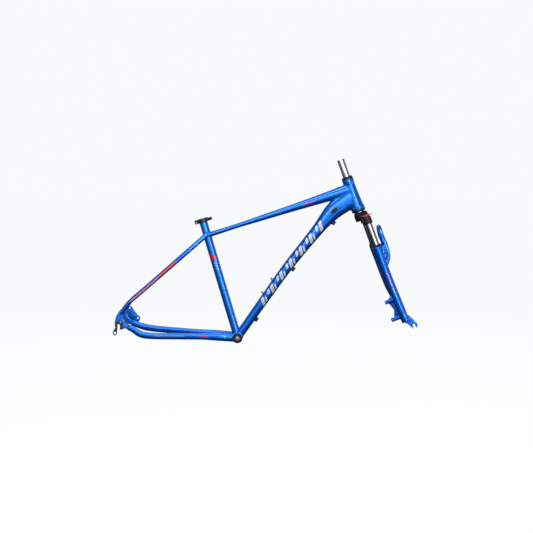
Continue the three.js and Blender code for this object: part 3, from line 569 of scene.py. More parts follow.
def port_axes():
    """The cable port on the right flank: local X along the down tube, local Y to the rider's left."""
    along = DOWN.axes(PORT["share"])[0]
    return axis_matrix(DOWN.at(PORT["share"]) * MM, (-along[2], 0, along[0]))


def tube_ring(radius, low, high, matrix, steps=60, segments=64):
    """Rings of a round tube, for the welds that are worked out along it."""
    angles = np.linspace(0, 2 * math.pi, segments, endpoint=False)
    heights = np.linspace(low, high, steps)
    local = [[(radius * math.cos(a), radius * math.sin(a), z) for a in angles] for z in heights]
    turn = np.array(matrix.to_3x3())
    return np.array(local) @ turn.T + np.array(matrix.translation) / MM


# Weld beads


def crossing(line, tree):
    """Where a line of points first meets the tree, else its nearest point to the tree."""
    for here, there in zip(line, line[1:]):
        step = Vector(there - here)
        spot = tree.ray_cast(Vector(here), step.normalized(), step.length)[0]
        if spot is not None:
            return np.array(spot)
    return min(line, key=lambda point: tree.find_nearest(Vector(point))[3])


def evened(loop, step):
    """The closed loop with its kinks eased and its points one step apart."""
    for _ in range(2):
        loop = (np.roll(loop, 1, axis=0) + 2 * loop + np.roll(loop, -1, axis=0)) / 4
    closed = np.vstack([loop, loop[:1]])
    reach = reach_along(closed)
    places = np.linspace(0, reach[-1], max(12, round(reach[-1] / step)), endpoint=False)
    return points_at(places, reach, closed), reach[-1]


def weld(name, rings, targets, radius=2.7, pitch=4.4):
    """A rippled bead where the rings' skin first meets the targets, coming from the last ring."""
    vertices, polygons = [], []
    for target in targets:
        polygons += [[index + len(vertices) for index in face.vertices] for face in target.data.polygons]
        vertices += [vertex.co / MM for vertex in target.data.vertices]
    tree = BVHTree.FromPolygons(vertices, polygons)
    loop = np.array([crossing(rings[::-1, k], tree) for k in range(rings.shape[1])])
    line, length = evened(loop, 0.7)
    ripples = max(6, round(length / pitch))
    centre = line.mean(axis=0)
    sides = 10
    bead = []
    for i, point in enumerate(line):
        along = line[(i + 1) % len(line)] - line[i - 1]
        along /= np.linalg.norm(along)
        out = point - centre
        out -= along * out.dot(along)
        out /= np.linalg.norm(out)
        across = np.cross(along, out)
        swell = radius * (0.84 + 0.2 * abs(math.sin(math.pi * ripples * i / len(line))))
        turns = [2 * math.pi * k / sides for k in range(sides)]
        bead.append([point + swell * (math.cos(a) * out + math.sin(a) * across) for a in turns])
    mesh = new_object(name, np.reshape(bead, (-1, 3)) * MM, grid_faces(len(line), sides, True, True))
    piece(mesh, "frame", "blue_paint", crease=80)


def build_frame_tubes():
    """The main tubes and stays, each run into the wall of the tube that it is welded to."""
    head = turned("head_tube_skin", HEAD_SKIN + HEAD_BORE, STEER, 1.0, 96)
    shell = ring("shell_skin", SHELL["bore"], SHELL["radius"], -SHELL["half"], SHELL["half"], CROSS, 0.8)
    radius, low, high, slot = (SEAT_TUBE[key] for key in ("radius", "low", "high", "slot"))
    seat = ring("seat_tube_skin", SEAT_TUBE["bore"], radius, low, high, SEAT)
    rings = {
        "down": DOWN.rings(110, 64),
        "top": TOP.rings(80, 64),
        "seat": tube_ring(radius, low, high, SEAT),
    }
    for side in SIDES:
        rings[f"seatstay_{side}"] = SEATSTAYS[side].rings(90, 40, tail=9)
        rings[f"chainstay_{side}"] = CHAINSTAYS[side].rings(90, 48, tail=8)
    down = skinned("down_tube_skin", rings["down"])
    top = skinned("top_tube_skin", rings["top"])

    weld("weld_down_head", rings["down"][::-1], [head])
    weld("weld_down_shell", rings["down"], [shell])
    weld("weld_top_head", rings["top"][::-1], [head, down])
    weld("weld_top_seat", rings["top"], [seat])
    weld("weld_seat_shell", rings["seat"], [shell])
    stays = {}
    for side in SIDES:
        for kind, targets in (("seatstay", [seat, top]), ("chainstay", [shell, seat, down])):
            name = f"{kind}_{side}"
            stays[name] = skinned(f"{name}_skin", rings[name])
            weld(f"weld_{name}", rings[name], targets, radius=2.3)

    def cores(*which):
        """Rods that clear the inside of the tubes that a tube runs into."""
        sizes = {
            "shell": (SHELL_CORE, -40, 40, CROSS),
            "seat": (SEAT_CORE, 300, 480, SEAT),
            "head": (HEAD_CORE, -5, 128, STEER),
        }
        return [rod(*sizes[name]) for name in which]

    length, width = PORT["length"], PORT["width"]
    cut(down, *cores("shell", "head"))
    cut(down, side_plate("pocket", stadium(length, width), -30, -8, bevel=0.1, matrix=port_axes()))
    cut(top, *cores("seat", "head"))
    cut(seat, *cores("shell"))
    relief = rolled(shifted(SEAT, z=slot), 90, "Y")
    cut(seat, block((-30, -8), (-1.5, 1.5), (slot, 490), SEAT), rod(3, -30, -8, relief, 24))
    for name, stay in stays.items():
        cut(stay, *cores("seat" if name.startswith("seatstay") else "shell"))
        piece(stay, "frame", "blue_paint", name)
    for tube, node in (
        (head, "head_tube"), (shell, "bottom_bracket_shell"), (seat, "seat_tube"), (down, "down_tube"),
        (top, "top_tube"),
    ):
        piece(tube, "frame", "blue_paint", node)
    return stays


def build_bridges(stays):
    """A round bridge between each pair of stays, welded at both ends."""
    for kind, x, z, radius, reach in (("seatstay", -188, 341.5, 6.5, 38), ("chainstay", -66, 5, 7, 38)):
        axis = shifted(PLAIN, x, 0, z) @ CROSS
        for side, sign in SIDES.items():
            half = tube_ring(radius, sign * reach, 0, axis, 40, 32)
            weld(f"weld_{kind}_bridge_{side}", half, [stays[f"{kind}_{side}"]], radius=1.9, pitch=3.4)
        tube = rod(radius, -reach, reach, axis, 48, f"{kind}_bridge_skin")
        piece(tube, "frame", "blue_paint", f"{kind}_bridge")


# Dropouts and hanger

REAR_AXLE = (-457, 54.6)
AXLE_HALF = 5.1
DROPOUT_OUTLINE = [
    (-12, -13), (-15, -5), (-15.5, 12), (-11, 34), (-2, 49), (8, 64), (19, 58), (13, 42), (16, 22), (24, 10),
    (37, 3.5), (56, -6), (49, -21), (31, -13), (20, -12), (13, -16), (-8, -16),
]
DISC_TAB_OUTLINE = [(12, 40), (22, 62), (34, 60), (52, 34), (70, 16), (66, -2), (36, 2), (20, 16)]
DISC_TAB_HOLES = [(28, 52), (60, 12.3)]
MECH_HOLE = (-14.5, -28.5)
HANGER_OUTLINE = [
    (-12, -6), *arc(*MECH_HOLE, 9, 149, 346), (-6, -17), (11, -16), (15, -6), (17, 12), (12, 20), (4, 18),
    (-10, 11),
]
HUB_FACE, DROPOUT_INNER, DROPOUT_OUTER = 67.5, 68.3, 74
HUB_PAD = [(0, HUB_FACE), (12, HUB_FACE), (12, DROPOUT_INNER + 2), (0, DROPOUT_INNER + 2)]
HANGER_BOLT = (9, 13)


def axle_slot(low, high, matrix):
    """A cutter for an axle slot that opens downwards, from y = low to y = high."""
    outline = arc(0, 0, AXLE_HALF, 0, 180, 24) + [(-AXLE_HALF, -40), (AXLE_HALF, -40)]
    return side_plate("slot", outline, low, high, bevel=0.05, matrix=matrix)


def build_dropouts():
    at_axle = shifted(PLAIN, REAR_AXLE[0], 0, REAR_AXLE[1])
    for side, sign in SIDES.items():
        low, high = sorted((sign * DROPOUT_INNER, sign * DROPOUT_OUTER))
        holes = [circle(*HANGER_BOLT, 2.8)] if side == "right" else []
        outline = rounded(DROPOUT_OUTLINE, 5)
        body = side_plate(f"dropout_{side}_plate", outline, low, high, holes, 1.2, at_axle)
        union(body, turned("pad", HUB_PAD, outward(sign, at_axle), 0.3))
        if side == "left":
            bores = [circle(x, z, 3.1) for x, z in DISC_TAB_HOLES]
            union(body, side_plate("tab", rounded(DISC_TAB_OUTLINE, 6), low, high, bores, 1.2, at_axle))
        cut(body, axle_slot(low - 5, high + 5, at_axle))
        piece(body, "frame", "blue_paint", f"dropout_{side}")
    low, high = -DROPOUT_OUTER - 5.3, -DROPOUT_OUTER - 0.3
    hanger = side_plate(
        "hanger_plate", rounded(HANGER_OUTLINE, 2.5), low, high,
        [circle(*MECH_HOLE, 4.9), circle(*HANGER_BOLT, 2.8)], 0.9, at_axle,
    )
    cut(hanger, axle_slot(low - 3, high + 3, at_axle))
    piece(hanger, "frame", "black_anodised", "derailleur_hanger")


# Bolts, bosses and guides


def bolt(name, node, body, slot, matrix, head, height, shank, length, socket):
    """A round-headed bolt along Z with a hexagonal socket, its shank pointing down."""
    shape = turned(name, [
        (0, -length), (shank, -length), (shank, 0), (head, 0), (head, height * 0.7), (head * 0.8, height),
        (0, height),
    ], matrix, 0.4, 48)
    cut(shape, rod(socket, height * 0.4, height + 1, matrix, 6))
    return piece(shape, body, slot, node)


def build_frame_fittings():
    outwards = shifted(PLAIN, REAR_AXLE[0] + HANGER_BOLT[0], -79.6, REAR_AXLE[1] + HANGER_BOLT[1])
    bolt("hanger_screw", "hanger_bolt", "frame", "steel", rolled(outwards, 90, "X"), 4.6, 2.6, 2.4, 11, 1.7)
    for name, share in (("lower", 0.278), ("upper", 0.278 + 64 / DOWN.length)):
        top = DOWN.frame_on_top(share)
        profile = [(2.7, -9), (4.2, -9), (4.2, 0.3), (6.4, 0.3), (6.4, 2), (2.7, 2)]
        boss = turned(f"boss_{name}", profile, top, 0.4, 48)
        piece(boss, "frame", "bare_alloy", f"bottle_boss_{name}")
        bolt(f"cage_screw_{name}", f"bottle_bolt_{name}", "frame", "black_anodised", shifted(top, z=4.4),
             4.3, 3.4, 2.4, 10, 2)
    for name, share in (("lower", 0.138), ("middle", 0.48), ("upper", 0.815)):
        build_guide(name, DOWN.frame_on_top(share, -1))
    length, width, face = (PORT[key] for key in ("length", "width", "face"))
    holes = [circle(x, 0, 2.5) for x in (-5.5, 5.5)]
    axes = port_axes()
    lip = side_plate("port_lip", stadium(length + 5, width + 5), face - 1.8, face, holes, 0.7, axes)
    insert = side_plate("port_insert", stadium(length - 1, width - 1), face - 1, face + 6, holes, 0.2, axes)
    piece(union(lip, insert), "frame", "rubber", "cable_port_grommet")


def build_guide(name, matrix):
    """A saddle under the down tube with two open cable channels along it."""
    section = [(-9, -3), (-9, 2.4), (-8, 3.4), (-8, 8.4), (-7.4, 9), (-5.8, 9)]
    section += arc(-4.2, 5.6, 2.7, 126, 414, 16) + [(-2.6, 9), (2.6, 9)]
    section += arc(4.2, 5.6, 2.7, 126, 414, 16) + [(5.8, 9), (7.4, 9), (8, 8.4), (8, 3.4), (9, 2.4), (9, -3)]
    body = plate(f"guide_{name}", section, -8.5, 8.5, matrix @ LENGTHWAYS, bevel=0.5)
    piece(body, "frame", "black_plastic", f"cable_guide_{name}")


# Seat clamp, in the seat tube's axes

CLAMP = {"low": 468, "high": 484, "bolt_x": -26, "bolt_z": 474.5, "pin_y": 17.6}


def build_seat_clamp():
    at_bolt = shifted(SEAT, CLAMP["bolt_x"], 0, CLAMP["bolt_z"])
    across = at_bolt @ CROSS
    at_pin = shifted(at_bolt, y=CLAMP["pin_y"])
    outline = rounded([(-32, 1.5), (-32, 8.5), (-19, 8.5)], 2, False) + arc(0, 0, 21, 156, -156, 60)
    outline += rounded([(-19, -8.5), (-32, -8.5), (-32, -1.5)], 2, False) + arc(0, 0, 16.2, -174.7, 174.7, 60)
    collar = plate("seat_clamp_collar", outline, CLAMP["low"], CLAMP["high"], SEAT, bevel=0.9)
    cut(collar, rod(2.9, -12, 12, across, 32))
    piece(collar, "frame", "black_anodised", "seat_collar")

    skewer = rod(2.5, -19, CLAMP["pin_y"] - 3, across, 40, "skewer")
    eye = ring("eye", 2.3, 4.8, -2.6, 2.6, at_pin, 0.4)
    piece(union(skewer, eye), "frame", "steel", "clamp_skewer")
    profile = [(2.8, -17.5), (5.2, -17.5), (6.6, -15.5), (6.6, -8.8), (2.8, -8.8)]
    nut = turned("skewer_nut", profile, across, 0.5)
    piece(nut, "frame", "black_anodised", "clamp_nut")
    piece(ring("skewer_washer", 2.8, 6.5, 8.8, 10.8, across, 0.4), "frame", "black_plastic", "cam_washer")
    pin = turned("skewer_pin", [(0, -6), (2, -6), (2, 6), (0, 6)], at_pin, 0.4, 32)
    piece(pin, "frame", "steel", "lever_pin")

    cheek = arc(0, -0.8, 5.7, 117, 333, 24) + [(9, 0), (12, 6.5)]
    blade = bezier((6, 0), (14, 6.5), (34, 8.5), (58, 1.5))
    blade += bezier((58, 1.5), (63, 1), (63, 6), (59, 6.5))[1:]
    blade += bezier((59, 6.5), (38, 14), (16, 12.5), (5.5, 6.5))[1:]
    lever = plate("quick_lever", blade, -6, 6, at_pin, bevel=1.6)
    union(lever, *(plate("cheek", cheek, *span, at_pin, bevel=0.4) for span in ((-6, -3.1), (3.1, 6))))
    cut(lever, rod(2.3, -10, 10, at_pin, 32))
    piece(lever, "lever", "black_anodised", "clamp_lever")


def bezier(start, first, second, end, steps=14):
    corners = [np.array(point, float) for point in (start, first, second, end)]
    points = []
    for i in range(steps + 1):
        t = i / steps
        weights = ((1 - t) ** 3, 3 * t * (1 - t) ** 2, 3 * t * t * (1 - t), t ** 3)
        points.append(sum(weight * corner for weight, corner in zip(weights, corners)))
    return points


# Bottom bracket and headset


def build_bottom_bracket():
    half = SHELL["half"]
    for side, sign in SIDES.items():
        outwards = outward(sign)
        cup = turned(f"cup_{side}", [
            (15.5, 14), (16.7, 14), (16.7, half + 0.3), (19.4, half + 0.3), (19.4, half + 2.6),
            (9.6, half + 2.6), (9.6, half - 3), (15.5, half - 3),
        ], outwards, 0.4, 80)
        for turn in (0, 90):
            notch = block((-25, 25), (-1.6, 1.6), (half + 1.2, half + 4), rolled(outwards, turn, "Z"))
            cut(cup, notch)
        piece(cup, "frame", "black_anodised", f"bottom_bracket_cup_{side}")
    end = 59
    shaft = rod(8.4, -end + 16, end - 16, CROSS, 64, "axle")
    for turn in (0, 180):
        axis = rolled(CROSS, turn, "X")
        corners = [(x * w * MM, y * w * MM, z * MM) for z, w in ((end - 17, 6.9), (end, 6.3))
                   for x, y in ((-1, -1), (1, -1), (1, 1), (-1, 1))]
        faces = [(0, 1, 2, 3), (4, 5, 6, 7), (0, 1, 5, 4), (1, 2, 6, 5), (2, 3, 7, 6), (3, 0, 4, 7)]
        taper = new_object("taper", corners, faces, axis)
        soften = taper.modifiers.new("edges", "BEVEL")
        soften.width = 0.8 * MM
        soften.segments = 3
        apply_modifiers(taper)
        union(shaft, taper)
        cut(shaft, rod(3.4, end - 22, end + 1, axis, 32))
    piece(shaft, "spindle", "steel", "bottom_bracket_spindle")


def build_headset():
    top = HEAD_LENGTH
    parts = (
        ("lower_cup", "frame", "headset_lower_cup", [
            (17, 12), (24.7, 12), (24.7, -0.3), (27.3, -0.3), (27.3, -5), (25.2, -8.6), (21.3, -8.6),
            (21.3, 0), (17, 1),
        ]),
        ("upper_cup", "frame", "headset_upper_cup", [
            (15.8, top - 12), (19.7, top - 12), (19.7, top + 0.3), (22.4, top + 0.3), (22.4, top + 3.4),
            (18.7, top + 3.4), (18.7, top - 5), (15.8, top - 5),
        ]),
        ("top_cover", "fork", "headset_top_cover", [
            (14.6, top + 3.7), (22.2, top + 3.7), (22.2, top + 5.7), (20, top + 10.7), (17.2, top + 12.3),
            (14.6, top + 12.3),
        ]),
    )
    for name, body, node, profile in parts:
        piece(turned(name, profile, STEER, 0.7, 80), body, "black_anodised", node)
    piece(ring("steerer", 12, 14.3, -44, 205, STEER, 0.4), "fork", "bare_alloy", "steerer_tube")


# Fork

SOCKET_TOP, SOCKET_FOOT, CROWN_TOP = -36, -62, -11.3
LOWERS_TOP, LOWERS_FOOT = -156, -466
FRONT_AXLE = (48.4, -491.8)
CROWN_OUTLINE = [
    (78, -37), (62, -33), (44, -22), (26, -13), (-26, -13), (-44, -22), (-62, -33), (-78, -37), (-80, -56),
    (-52, -57), (-38, -48), (-18, -43), (18, -43), (38, -48), (52, -57), (80, -56),
]
BRACE_POINTS = [
    (26, 66, -232), (46.5, 66, -204), (51, 62, -168), (49, 52, -127), (51, 31, -97), (52, 0, -88),
]
BRACE = Tube(
    BRACE_POINTS + mirrored(BRACE_POINTS[:-1])[::-1],
    [(16, 18, 2.4), (14, 13, 2.5), (12, 16, 2.5), (13, 16, 2.5), (14, 16, 2.5), (13, 16, 2.5),
     (12, 16, 2.5), (14, 13, 2.5), (16, 18, 2.4)],
    (1, 0, 0),
)
LEG = Tube(
    [(0, 0, LOWERS_TOP), (0.4, 0, -260), (4.5, 0, -370), (7.5, 0, -430), (9.5, 0, LOWERS_FOOT)],
    [(39, 39, 2), (35.5, 35.5, 2), (35, 35, 2), (34.5, 34.5, 2.1), (34, 34.5, 2.2), (29, 31, 2.3)],
    (1, 0, 0),
)
POSTS = {"y": 49, "face": -22, "radius": 8, "z": (-386, -460)}
LEG_BORE = [
    (0, -155), (14.6, -155), (14.6, -372), (9, -380), (9, -454), (4.2, -454), (4.2, -464), (5.9, -464),
    (5.9, -470), (0, -470),
]


def cast(name, parts, voxel, rounds):
    """Parts fused into one casting, with its corners and joins melted together."""
    whole = parts[0]
    merged = bmesh.new()
    for part in parts:
        merged.from_mesh(part.data)
    merged.to_mesh(whole.data)
    merged.free()
    for part in parts[1:]:
        bpy.data.objects.remove(part)
    whole.name = name
    fuse = whole.modifiers.new("fuse", "REMESH")
    fuse.mode = "VOXEL"
    fuse.voxel_size = voxel * MM
    melt = whole.modifiers.new("melt", "SMOOTH")
    melt.factor = 0.5
    melt.iterations = rounds
    apply_modifiers(whole)
    return whole


def build_crown():
    arms = plate("arms", rounded(CROWN_OUTLINE, 6), -4, 28, STEER @ LENGTHWAYS, bevel=4)
    profile = [(0, CROWN_TOP), (21, CROWN_TOP), (24, -17), (25.5, -30), (24, -45), (0, -45)]
    boss = turned("boss", profile, STEER, 1)
    sockets = [
        turned("socket", [(0, SOCKET_FOOT), (17, SOCKET_FOOT), (18.4, SOCKET_FOOT + 3), (18.4, SOCKET_TOP),
                          (0, SOCKET_TOP)], axis, 0.8)
        for axis in LEG_AXIS.values()
    ]
    crown = cast("crown_casting", [arms, boss, *sockets], 1.1, 5)
    cutters = [rod(14.6, -46, CROWN_TOP + 2, STEER, 72)]
    for axis in LEG_AXIS.values():
        cutters.append(rod(18.4, SOCKET_TOP, CROWN_TOP + 6, axis, 72))
        cutters.append(rod(14.3, SOCKET_FOOT - 2, SOCKET_TOP + 1, axis, 72))
    cut(crown, *cutters)
    piece(crown, "fork", "black_anodised", "fork_crown")


def fork_dropout(side):
    x, z = FRONT_AXLE
    knee = bezier((36, -432), (40, -450.7), (50.3, -467), (x + 13, z + 6), 10)
    outline = [(10, -420), *knee, *arc(x, z, 14.5, 25, -112, 20), (26, -478), (12, -464)]
    low, high = (-59, -50) if side == "right" else (50, 59)
    return side_plate("fork_dropout", outline, low, high, bevel=1.5, matrix=STEER)


def build_lowers():
    parts = [skinned("leg", LEG.rings(60, 48), axis) for axis in LEG_AXIS.values()]
    parts.append(skinned("brace", BRACE.rings(110, 32), STEER))
    parts += [block((30, 47), (y - 5, y + 5), (LOWERS_TOP - 22, LOWERS_TOP - 4), STEER) for y in (-65, 65)]
    parts += [fork_dropout(side) for side in SIDES]
    post_axes = [rolled(shifted(STEER, 0, POSTS["y"], z), 90, "Y") for z in POSTS["z"]]
    parts += [rod(POSTS["radius"], POSTS["face"], 12, axis) for axis in post_axes]
    web = [(10, -366), (-9, -380), (-9, -394), (2, -424), (-7, -452), (-7, -465), (16, -468)]
    parts.append(side_plate("web", web, 46, 56, matrix=STEER))
    lowers = cast("lowers_casting", parts, 1.25, 7)
    at_axle = shifted(STEER, FRONT_AXLE[0], 0, FRONT_AXLE[1])
    cutters = [turned("bore", LEG_BORE, axis, 0, 64) for axis in LEG_AXIS.values()]
    cutters += [axle_slot(-70, -40, at_axle), axle_slot(40, 70, at_axle)]
    cutters += [rod(2.6, POSTS["face"] - 3, -8, axis, 32) for axis in post_axes]
    cut(lowers, *cutters)
    piece(lowers, "lowers", "blue_paint", "fork_lowers")


def scalloped(radius, depth, count):
    """A round outline with finger notches."""
    total = count * 6
    points = []
    for i in range(total):
        angle = 2 * math.pi * i / total
        dip = max(0.0, math.cos(angle * count)) ** 3 * depth
        points.append(((radius - dip) * math.cos(angle), (radius - dip) * math.sin(angle)))
    return points


def build_leg_tops():
    top = SOCKET_TOP
    low = top + 3.9
    for side, node in (("right", "damper_cap"), ("left", "preload_cap")):
        cap = turned(f"{node}_top", [
            (0, -52), (11.7, -52), (11.7, top + 0.5), (16.4, top + 0.5), (16.4, top + 2.6), (15, top + 3.6),
            (3, top + 3.6), (3, top + 10), (0, top + 10),
        ], LEG_AXIS[side], 0.5)
        piece(cap, "fork", "black_anodised", node)
    right, left = LEG_AXIS["right"], LEG_AXIS["left"]
    lever = [(8, -3.2), *arc(23, 0, 3.2, -90, 90, 14), (8, 3.2)]
    dial = plate("lockout_disc", scalloped(14.6, 1.3, 12), low, low + 6.6, right, [circle(0, 0, 3.3)], 0.7)
    union(dial, plate("tab", lever, low + 1.4, low + 5.6, right, bevel=0.8))
    piece(dial, "lockout", "red_anodised", "lockout_dial")
    knob = plate("preload_disc", scalloped(13.4, 1.2, 10), low, low + 8.2, left, [circle(0, 0, 3.3)], 1.2)
    piece(knob, "preload", "black_plastic", "preload_knob")


def build_legs():
    low = LOWERS_TOP
    for side, axis in LEG_AXIS.items():
        tube = ring(f"stanchion_{side}_tube", 12, 14, -286, SOCKET_TOP - 0.3, axis, 0.4)
        piece(tube, "fork", "chrome_tube", f"stanchion_{side}")
        seal = turned(f"wiper_{side}", [
            (14.3, low + 0.3), (18.6, low + 0.3), (18.6, low + 3.4), (17.6, low + 4.2), (17.6, low + 5.2),
            (16.4, low + 7.9), (14.3, low + 7.9),
        ], axis, 0.5, 80)
        piece(seal, "lowers", "rubber", f"wiper_seal_{side}")
        foot = rolled(shifted(axis, z=LOWERS_FOOT + 1.7), 180, "X")
        bolt(f"foot_screw_{side}", f"foot_bolt_{side}", "lowers", "steel", foot, 5.5, 5, 3.8, 16, 2.6)


SPRING = {"top": -56, "foot": -235, "radius": 8.6, "wire": 1.7, "turns": 8}


def build_spring():
    """The coil spring in the left leg, with closed end turns."""
    wire, turns = SPRING["wire"], SPRING["turns"]
    low, high = SPRING["foot"] + wire, SPRING["top"] - wire
    end_pitch = 2.3 * wire
    places = np.linspace(0, turns, turns * 36 + 1)
    heights = np.interp(places, [0, 1, turns - 1, turns], [low, low + end_pitch, high - end_pitch, high])
    angles = 2 * math.pi * places
    line = np.column_stack([SPRING["radius"] * np.cos(angles), SPRING["radius"] * np.sin(angles), heights])
    rings = []
    for angle, centre, along in zip(angles, line, np.gradient(line, axis=0)):
        outwards = np.array((math.cos(angle), math.sin(angle), 0))
        across = np.cross(along / np.linalg.norm(along), outwards)
        rings.append([centre + wire * (math.cos(a) * outwards + math.sin(a) * across)
                      for a in np.linspace(0, 2 * math.pi, 14, endpoint=False)])
    axis = LEG_AXIS["left"]
    coil = piece(skinned("spring_coil", np.array(rings), axis), "fork", "steel", "coil_spring")
    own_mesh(coil)


# Graphics: slanted film bars in place of the lettering, the same on both flanks


SLANT = 0.68  # how far a bar leans forward for each millimetre it rises


def film(name, tube, bars, print_look, lift=0.12, matrix=PLAIN, body="frame", flanks=(-1, 1)):
    """One piece of printed film made of slanted bars: (start, width, low, high), in millimetres along and up
    the flank. Each bar leans forward as it rises."""
    vertices, faces = [], []
    for flank in flanks:
        for start, width, low, high in bars:
            across = max(2, round((high - low) / 1.5))
            along = max(1, round(width / 2.5))
            first = len(vertices)
            for i in range(along + 1):
                for k in range(across + 1):
                    height = low + (high - low) * k / across
                    place = start + width * i / along + SLANT * height
                    vertices.append(tube.on_skin(place / tube.length, height, flank, lift) * MM)
            faces += grid_faces(along + 1, across + 1, False, False, first)
    obj = new_object(name, vertices, faces, matrix)
    thick = obj.modifiers.new("thickness", "SOLIDIFY")
    thick.thickness = 0.1 * MM
    thick.offset = 0
    apply_modifiers(obj)
    look, slot = print_look
    return piece(obj, body, slot, look=look)


def speed_bars():
    """Slanted bars in a rhythm of three widths and heights, growing up the down tube."""
    start, end, count = 168.0, 556.0, 19
    pitch = (end - start) / count
    bars = []
    for i in range(count):
        half = 12.0 + 3.5 * i / count
        width = pitch * (0.7, 0.36, 0.52)[i % 3]
        low = (-half, -half, -half * 0.15)[i % 3]
        high = (half, half * 0.2, half)[i % 3]
        bars.append((start + pitch * i, width, low, high))
    return bars


def dashes(start, pitch, width, low, high, count):
    return [(start + pitch * i, width, low, high) for i in range(count)]


def build_graphics():
    bars = speed_bars()
    edge = 1.8
    inner = [
        (start + edge, width - 2 * edge, low + edge, high - edge)
        for start, width, low, high in bars if width > 7
    ]
    film("down_tube_bars", DOWN, bars, SILVER_EDGE)
    film("down_tube_bar_cores", DOWN, inner, SILVER_FILL, 0.26)
    film("top_tube_dashes", TOP, dashes(391, 9.5, 6.5, -2.6, 2.6, 6), RED_PRINT)
    seat_top = SEAT.col[2][:3]
    diameter = 2 * SEAT_TUBE["radius"]
    seat_tube = Tube(
        [(0, 0, 0), [SEAT_TUBE["high"] * way for way in seat_top]], [(diameter, diameter, 2)] * 2, (-1, 0, 0),
    )
    film("seat_tube_block", seat_tube, [(318, 19, -9, 13)], RED_PRINT)
    film("seat_tube_dashes", seat_tube, dashes(300, -11, 6, -6, 3, 3), PALE_PRINT)
    for side, sign in SIDES.items():
        stay = SEATSTAYS[side]
        film(f"seatstay_{side}_flash", stay, [(166, 84, -5.0, 5.0)], RED_PRINT, flanks=(sign,))
        # The stripe's thin tail: the red print lightened to pink as a painted highlight.
        film(f"seatstay_{side}_tail", stay, [(256, 142, -2.6, 2.6)], RED_PRINT_PAINTED_HIGHLIGHT, flanks=(sign,))
        stay = CHAINSTAYS[side]
        film(f"chainstay_{side}_dashes", stay, dashes(106, 9.5, 6.5, -3, 3, 4), RED_PRINT, flanks=(sign,))
        film(f"chainstay_{side}_line", stay, [(196, 116, 1.0, 2.6)], PALE_PRINT, flanks=(sign,))
        on_leg = {"matrix": LEG_AXIS[side], "body": "lowers", "flanks": (sign,)}
        film(f"leg_{side}_dashes", LEG, dashes(96, 9.0, 6.0, 0, 4, 7), RED_PRINT, **on_leg)
        film(f"leg_{side}_pale_dashes", LEG, dashes(168, 9.0, 6.0, 0, 4, 4), PALE_PRINT, **on_leg)


# Hidden CAD pieces keep their own shape


def dress_hidden_nodes():
    slots = {part["node"]: part["material_slot"] for part in frame["record"]["subparts"]}
    for name, obj in frame["nodes"].items():
        if obj.hide_render:
            continue
        obj.data.materials.clear()
        obj.data.materials.append(LOOKS[slots[name]])


# Studio


def softbox(name, place, size, power):
    """An area light that faces the middle of the frame."""
    target = (0.1, 0, 0.3)
    data = bpy.data.lights.new(name, "AREA")
    data.shape = "RECTANGLE"
    data.size, data.size_y = size
    data.energy = power
    lamp = linked(name, data)
    lamp.location = place
    lamp.rotation_euler = (Vector(target) - Vector(place)).to_track_quat("-Z", "Y").to_euler()


FLOOR_GLOW = 0.915


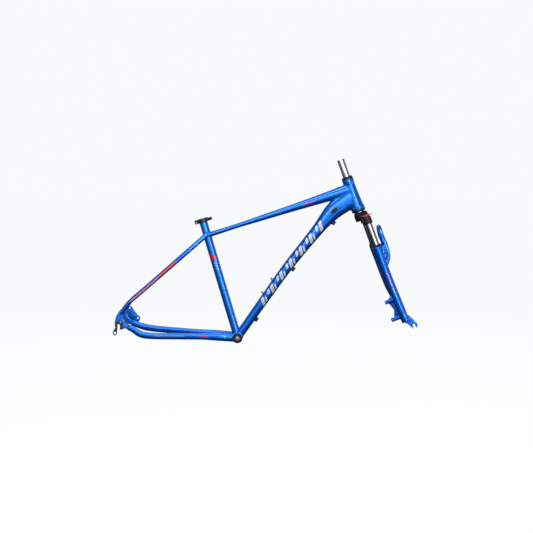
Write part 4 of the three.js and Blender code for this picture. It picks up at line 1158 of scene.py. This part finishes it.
def build_floor():
    """A wide pale floor with a faint mottle. It isn't reflected, so the tubes' undersides stay dark."""
    height = -0.31
    rings = [0.0, 1.0, 3.0, 10.0, 60.0]
    vertices, faces = [(0, 0, height)], []
    steps = 64
    for reach in rings[1:]:
        for i in range(steps):
            angle = 2 * math.pi * i / steps
            vertices.append((reach * math.cos(angle), reach * math.sin(angle), height))
    for i in range(steps):
        faces.append((0, 1 + i, 1 + (i + 1) % steps))
        for k in range(len(rings) - 2):
            low, high = 1 + k * steps, 1 + (k + 1) * steps
            after = (i + 1) % steps
            faces.append((low + i, high + i, high + after, low + after))
    floor = new_object("floor", vertices, faces)
    shader = Shader("floor", Emission_Strength=FLOOR_GLOW, Emission_Color=(0.985, 0.992, 1.0, 1))
    shader.main.inputs["Specular IOR Level"].default_value = 0.1
    colour = shader.ramp(shader.noise(3.0), (0.2, (0.08, 0.081, 0.083)), (0.8, (0.1, 0.101, 0.103)))
    floor.data.materials.append(shader.finish(colour, shader.span(shader.noise(20.0), 0.7, 0.8)))
    floor.visible_glossy = False
    floor.visible_diffuse = False


def build_world():
    """A bright band round the horizon, a grey ceiling and a dark pit below, for the tubes to mirror."""
    world = bpy.data.worlds.new("studio")
    bpy.context.scene.world = world
    world.use_nodes = True
    nodes, links = world.node_tree.nodes, world.node_tree.links
    coords = nodes.new("ShaderNodeTexCoord")
    split = nodes.new("ShaderNodeSeparateXYZ")
    spread = nodes.new("ShaderNodeMapRange")
    spread.inputs["From Min"].default_value = -1.0
    ramp = nodes.new("ShaderNodeValToRGB")
    links.new(coords.outputs["Generated"], split.inputs[0])
    links.new(split.outputs["Z"], spread.inputs["Value"])
    links.new(spread.outputs["Result"], ramp.inputs[0])
    links.new(ramp.outputs[0], nodes["Background"].inputs["Color"])
    set_stops(ramp.color_ramp.elements, (
        (0.34, (0.02, 0.022, 0.03)), (0.43, (0.16, 0.165, 0.18)), (0.485, (0.945, 0.953, 0.97)),
        (0.565, (0.945, 0.953, 0.97)), (0.63, (0.2, 0.21, 0.23)),
    ))


def build_camera():
    """Square on to the right side, a little above it, with a long lens."""
    target = Vector((0.1131, 0, 0.2769))
    rise = math.radians(4.5)
    distance = 5.0
    data = bpy.data.cameras.new("camera")
    data.lens = 86.6
    data.sensor_width = 36
    camera = linked("camera", data)
    camera.location = target + Vector((0, -math.cos(rise), math.sin(rise))) * distance
    camera.rotation_euler = (math.pi / 2 - rise, 0, 0)
    bpy.context.scene.camera = camera


build_camera()
softbox("overhead", (0.1, -1.2, 2.6), (3.0, 1.0), 42)
softbox("strip_right", (1.6, -2.8, 0.7), (0.22, 2.4), 26)
softbox("front", (0.0, -3.4, 1.3), (3.2, 0.9), 34)
softbox("back_fill", (0.4, 2.8, 1.8), (2.6, 1.2), 14)
build_world()
build_floor()
bpy.context.scene.view_settings.view_transform = "Standard"

build_bridges(build_frame_tubes())
build_dropouts()
build_frame_fittings()
build_seat_clamp()
build_bottom_bracket()
build_headset()
build_crown()
build_lowers()
build_leg_tops()
build_legs()
build_spring()
build_graphics()
dress_hidden_nodes()
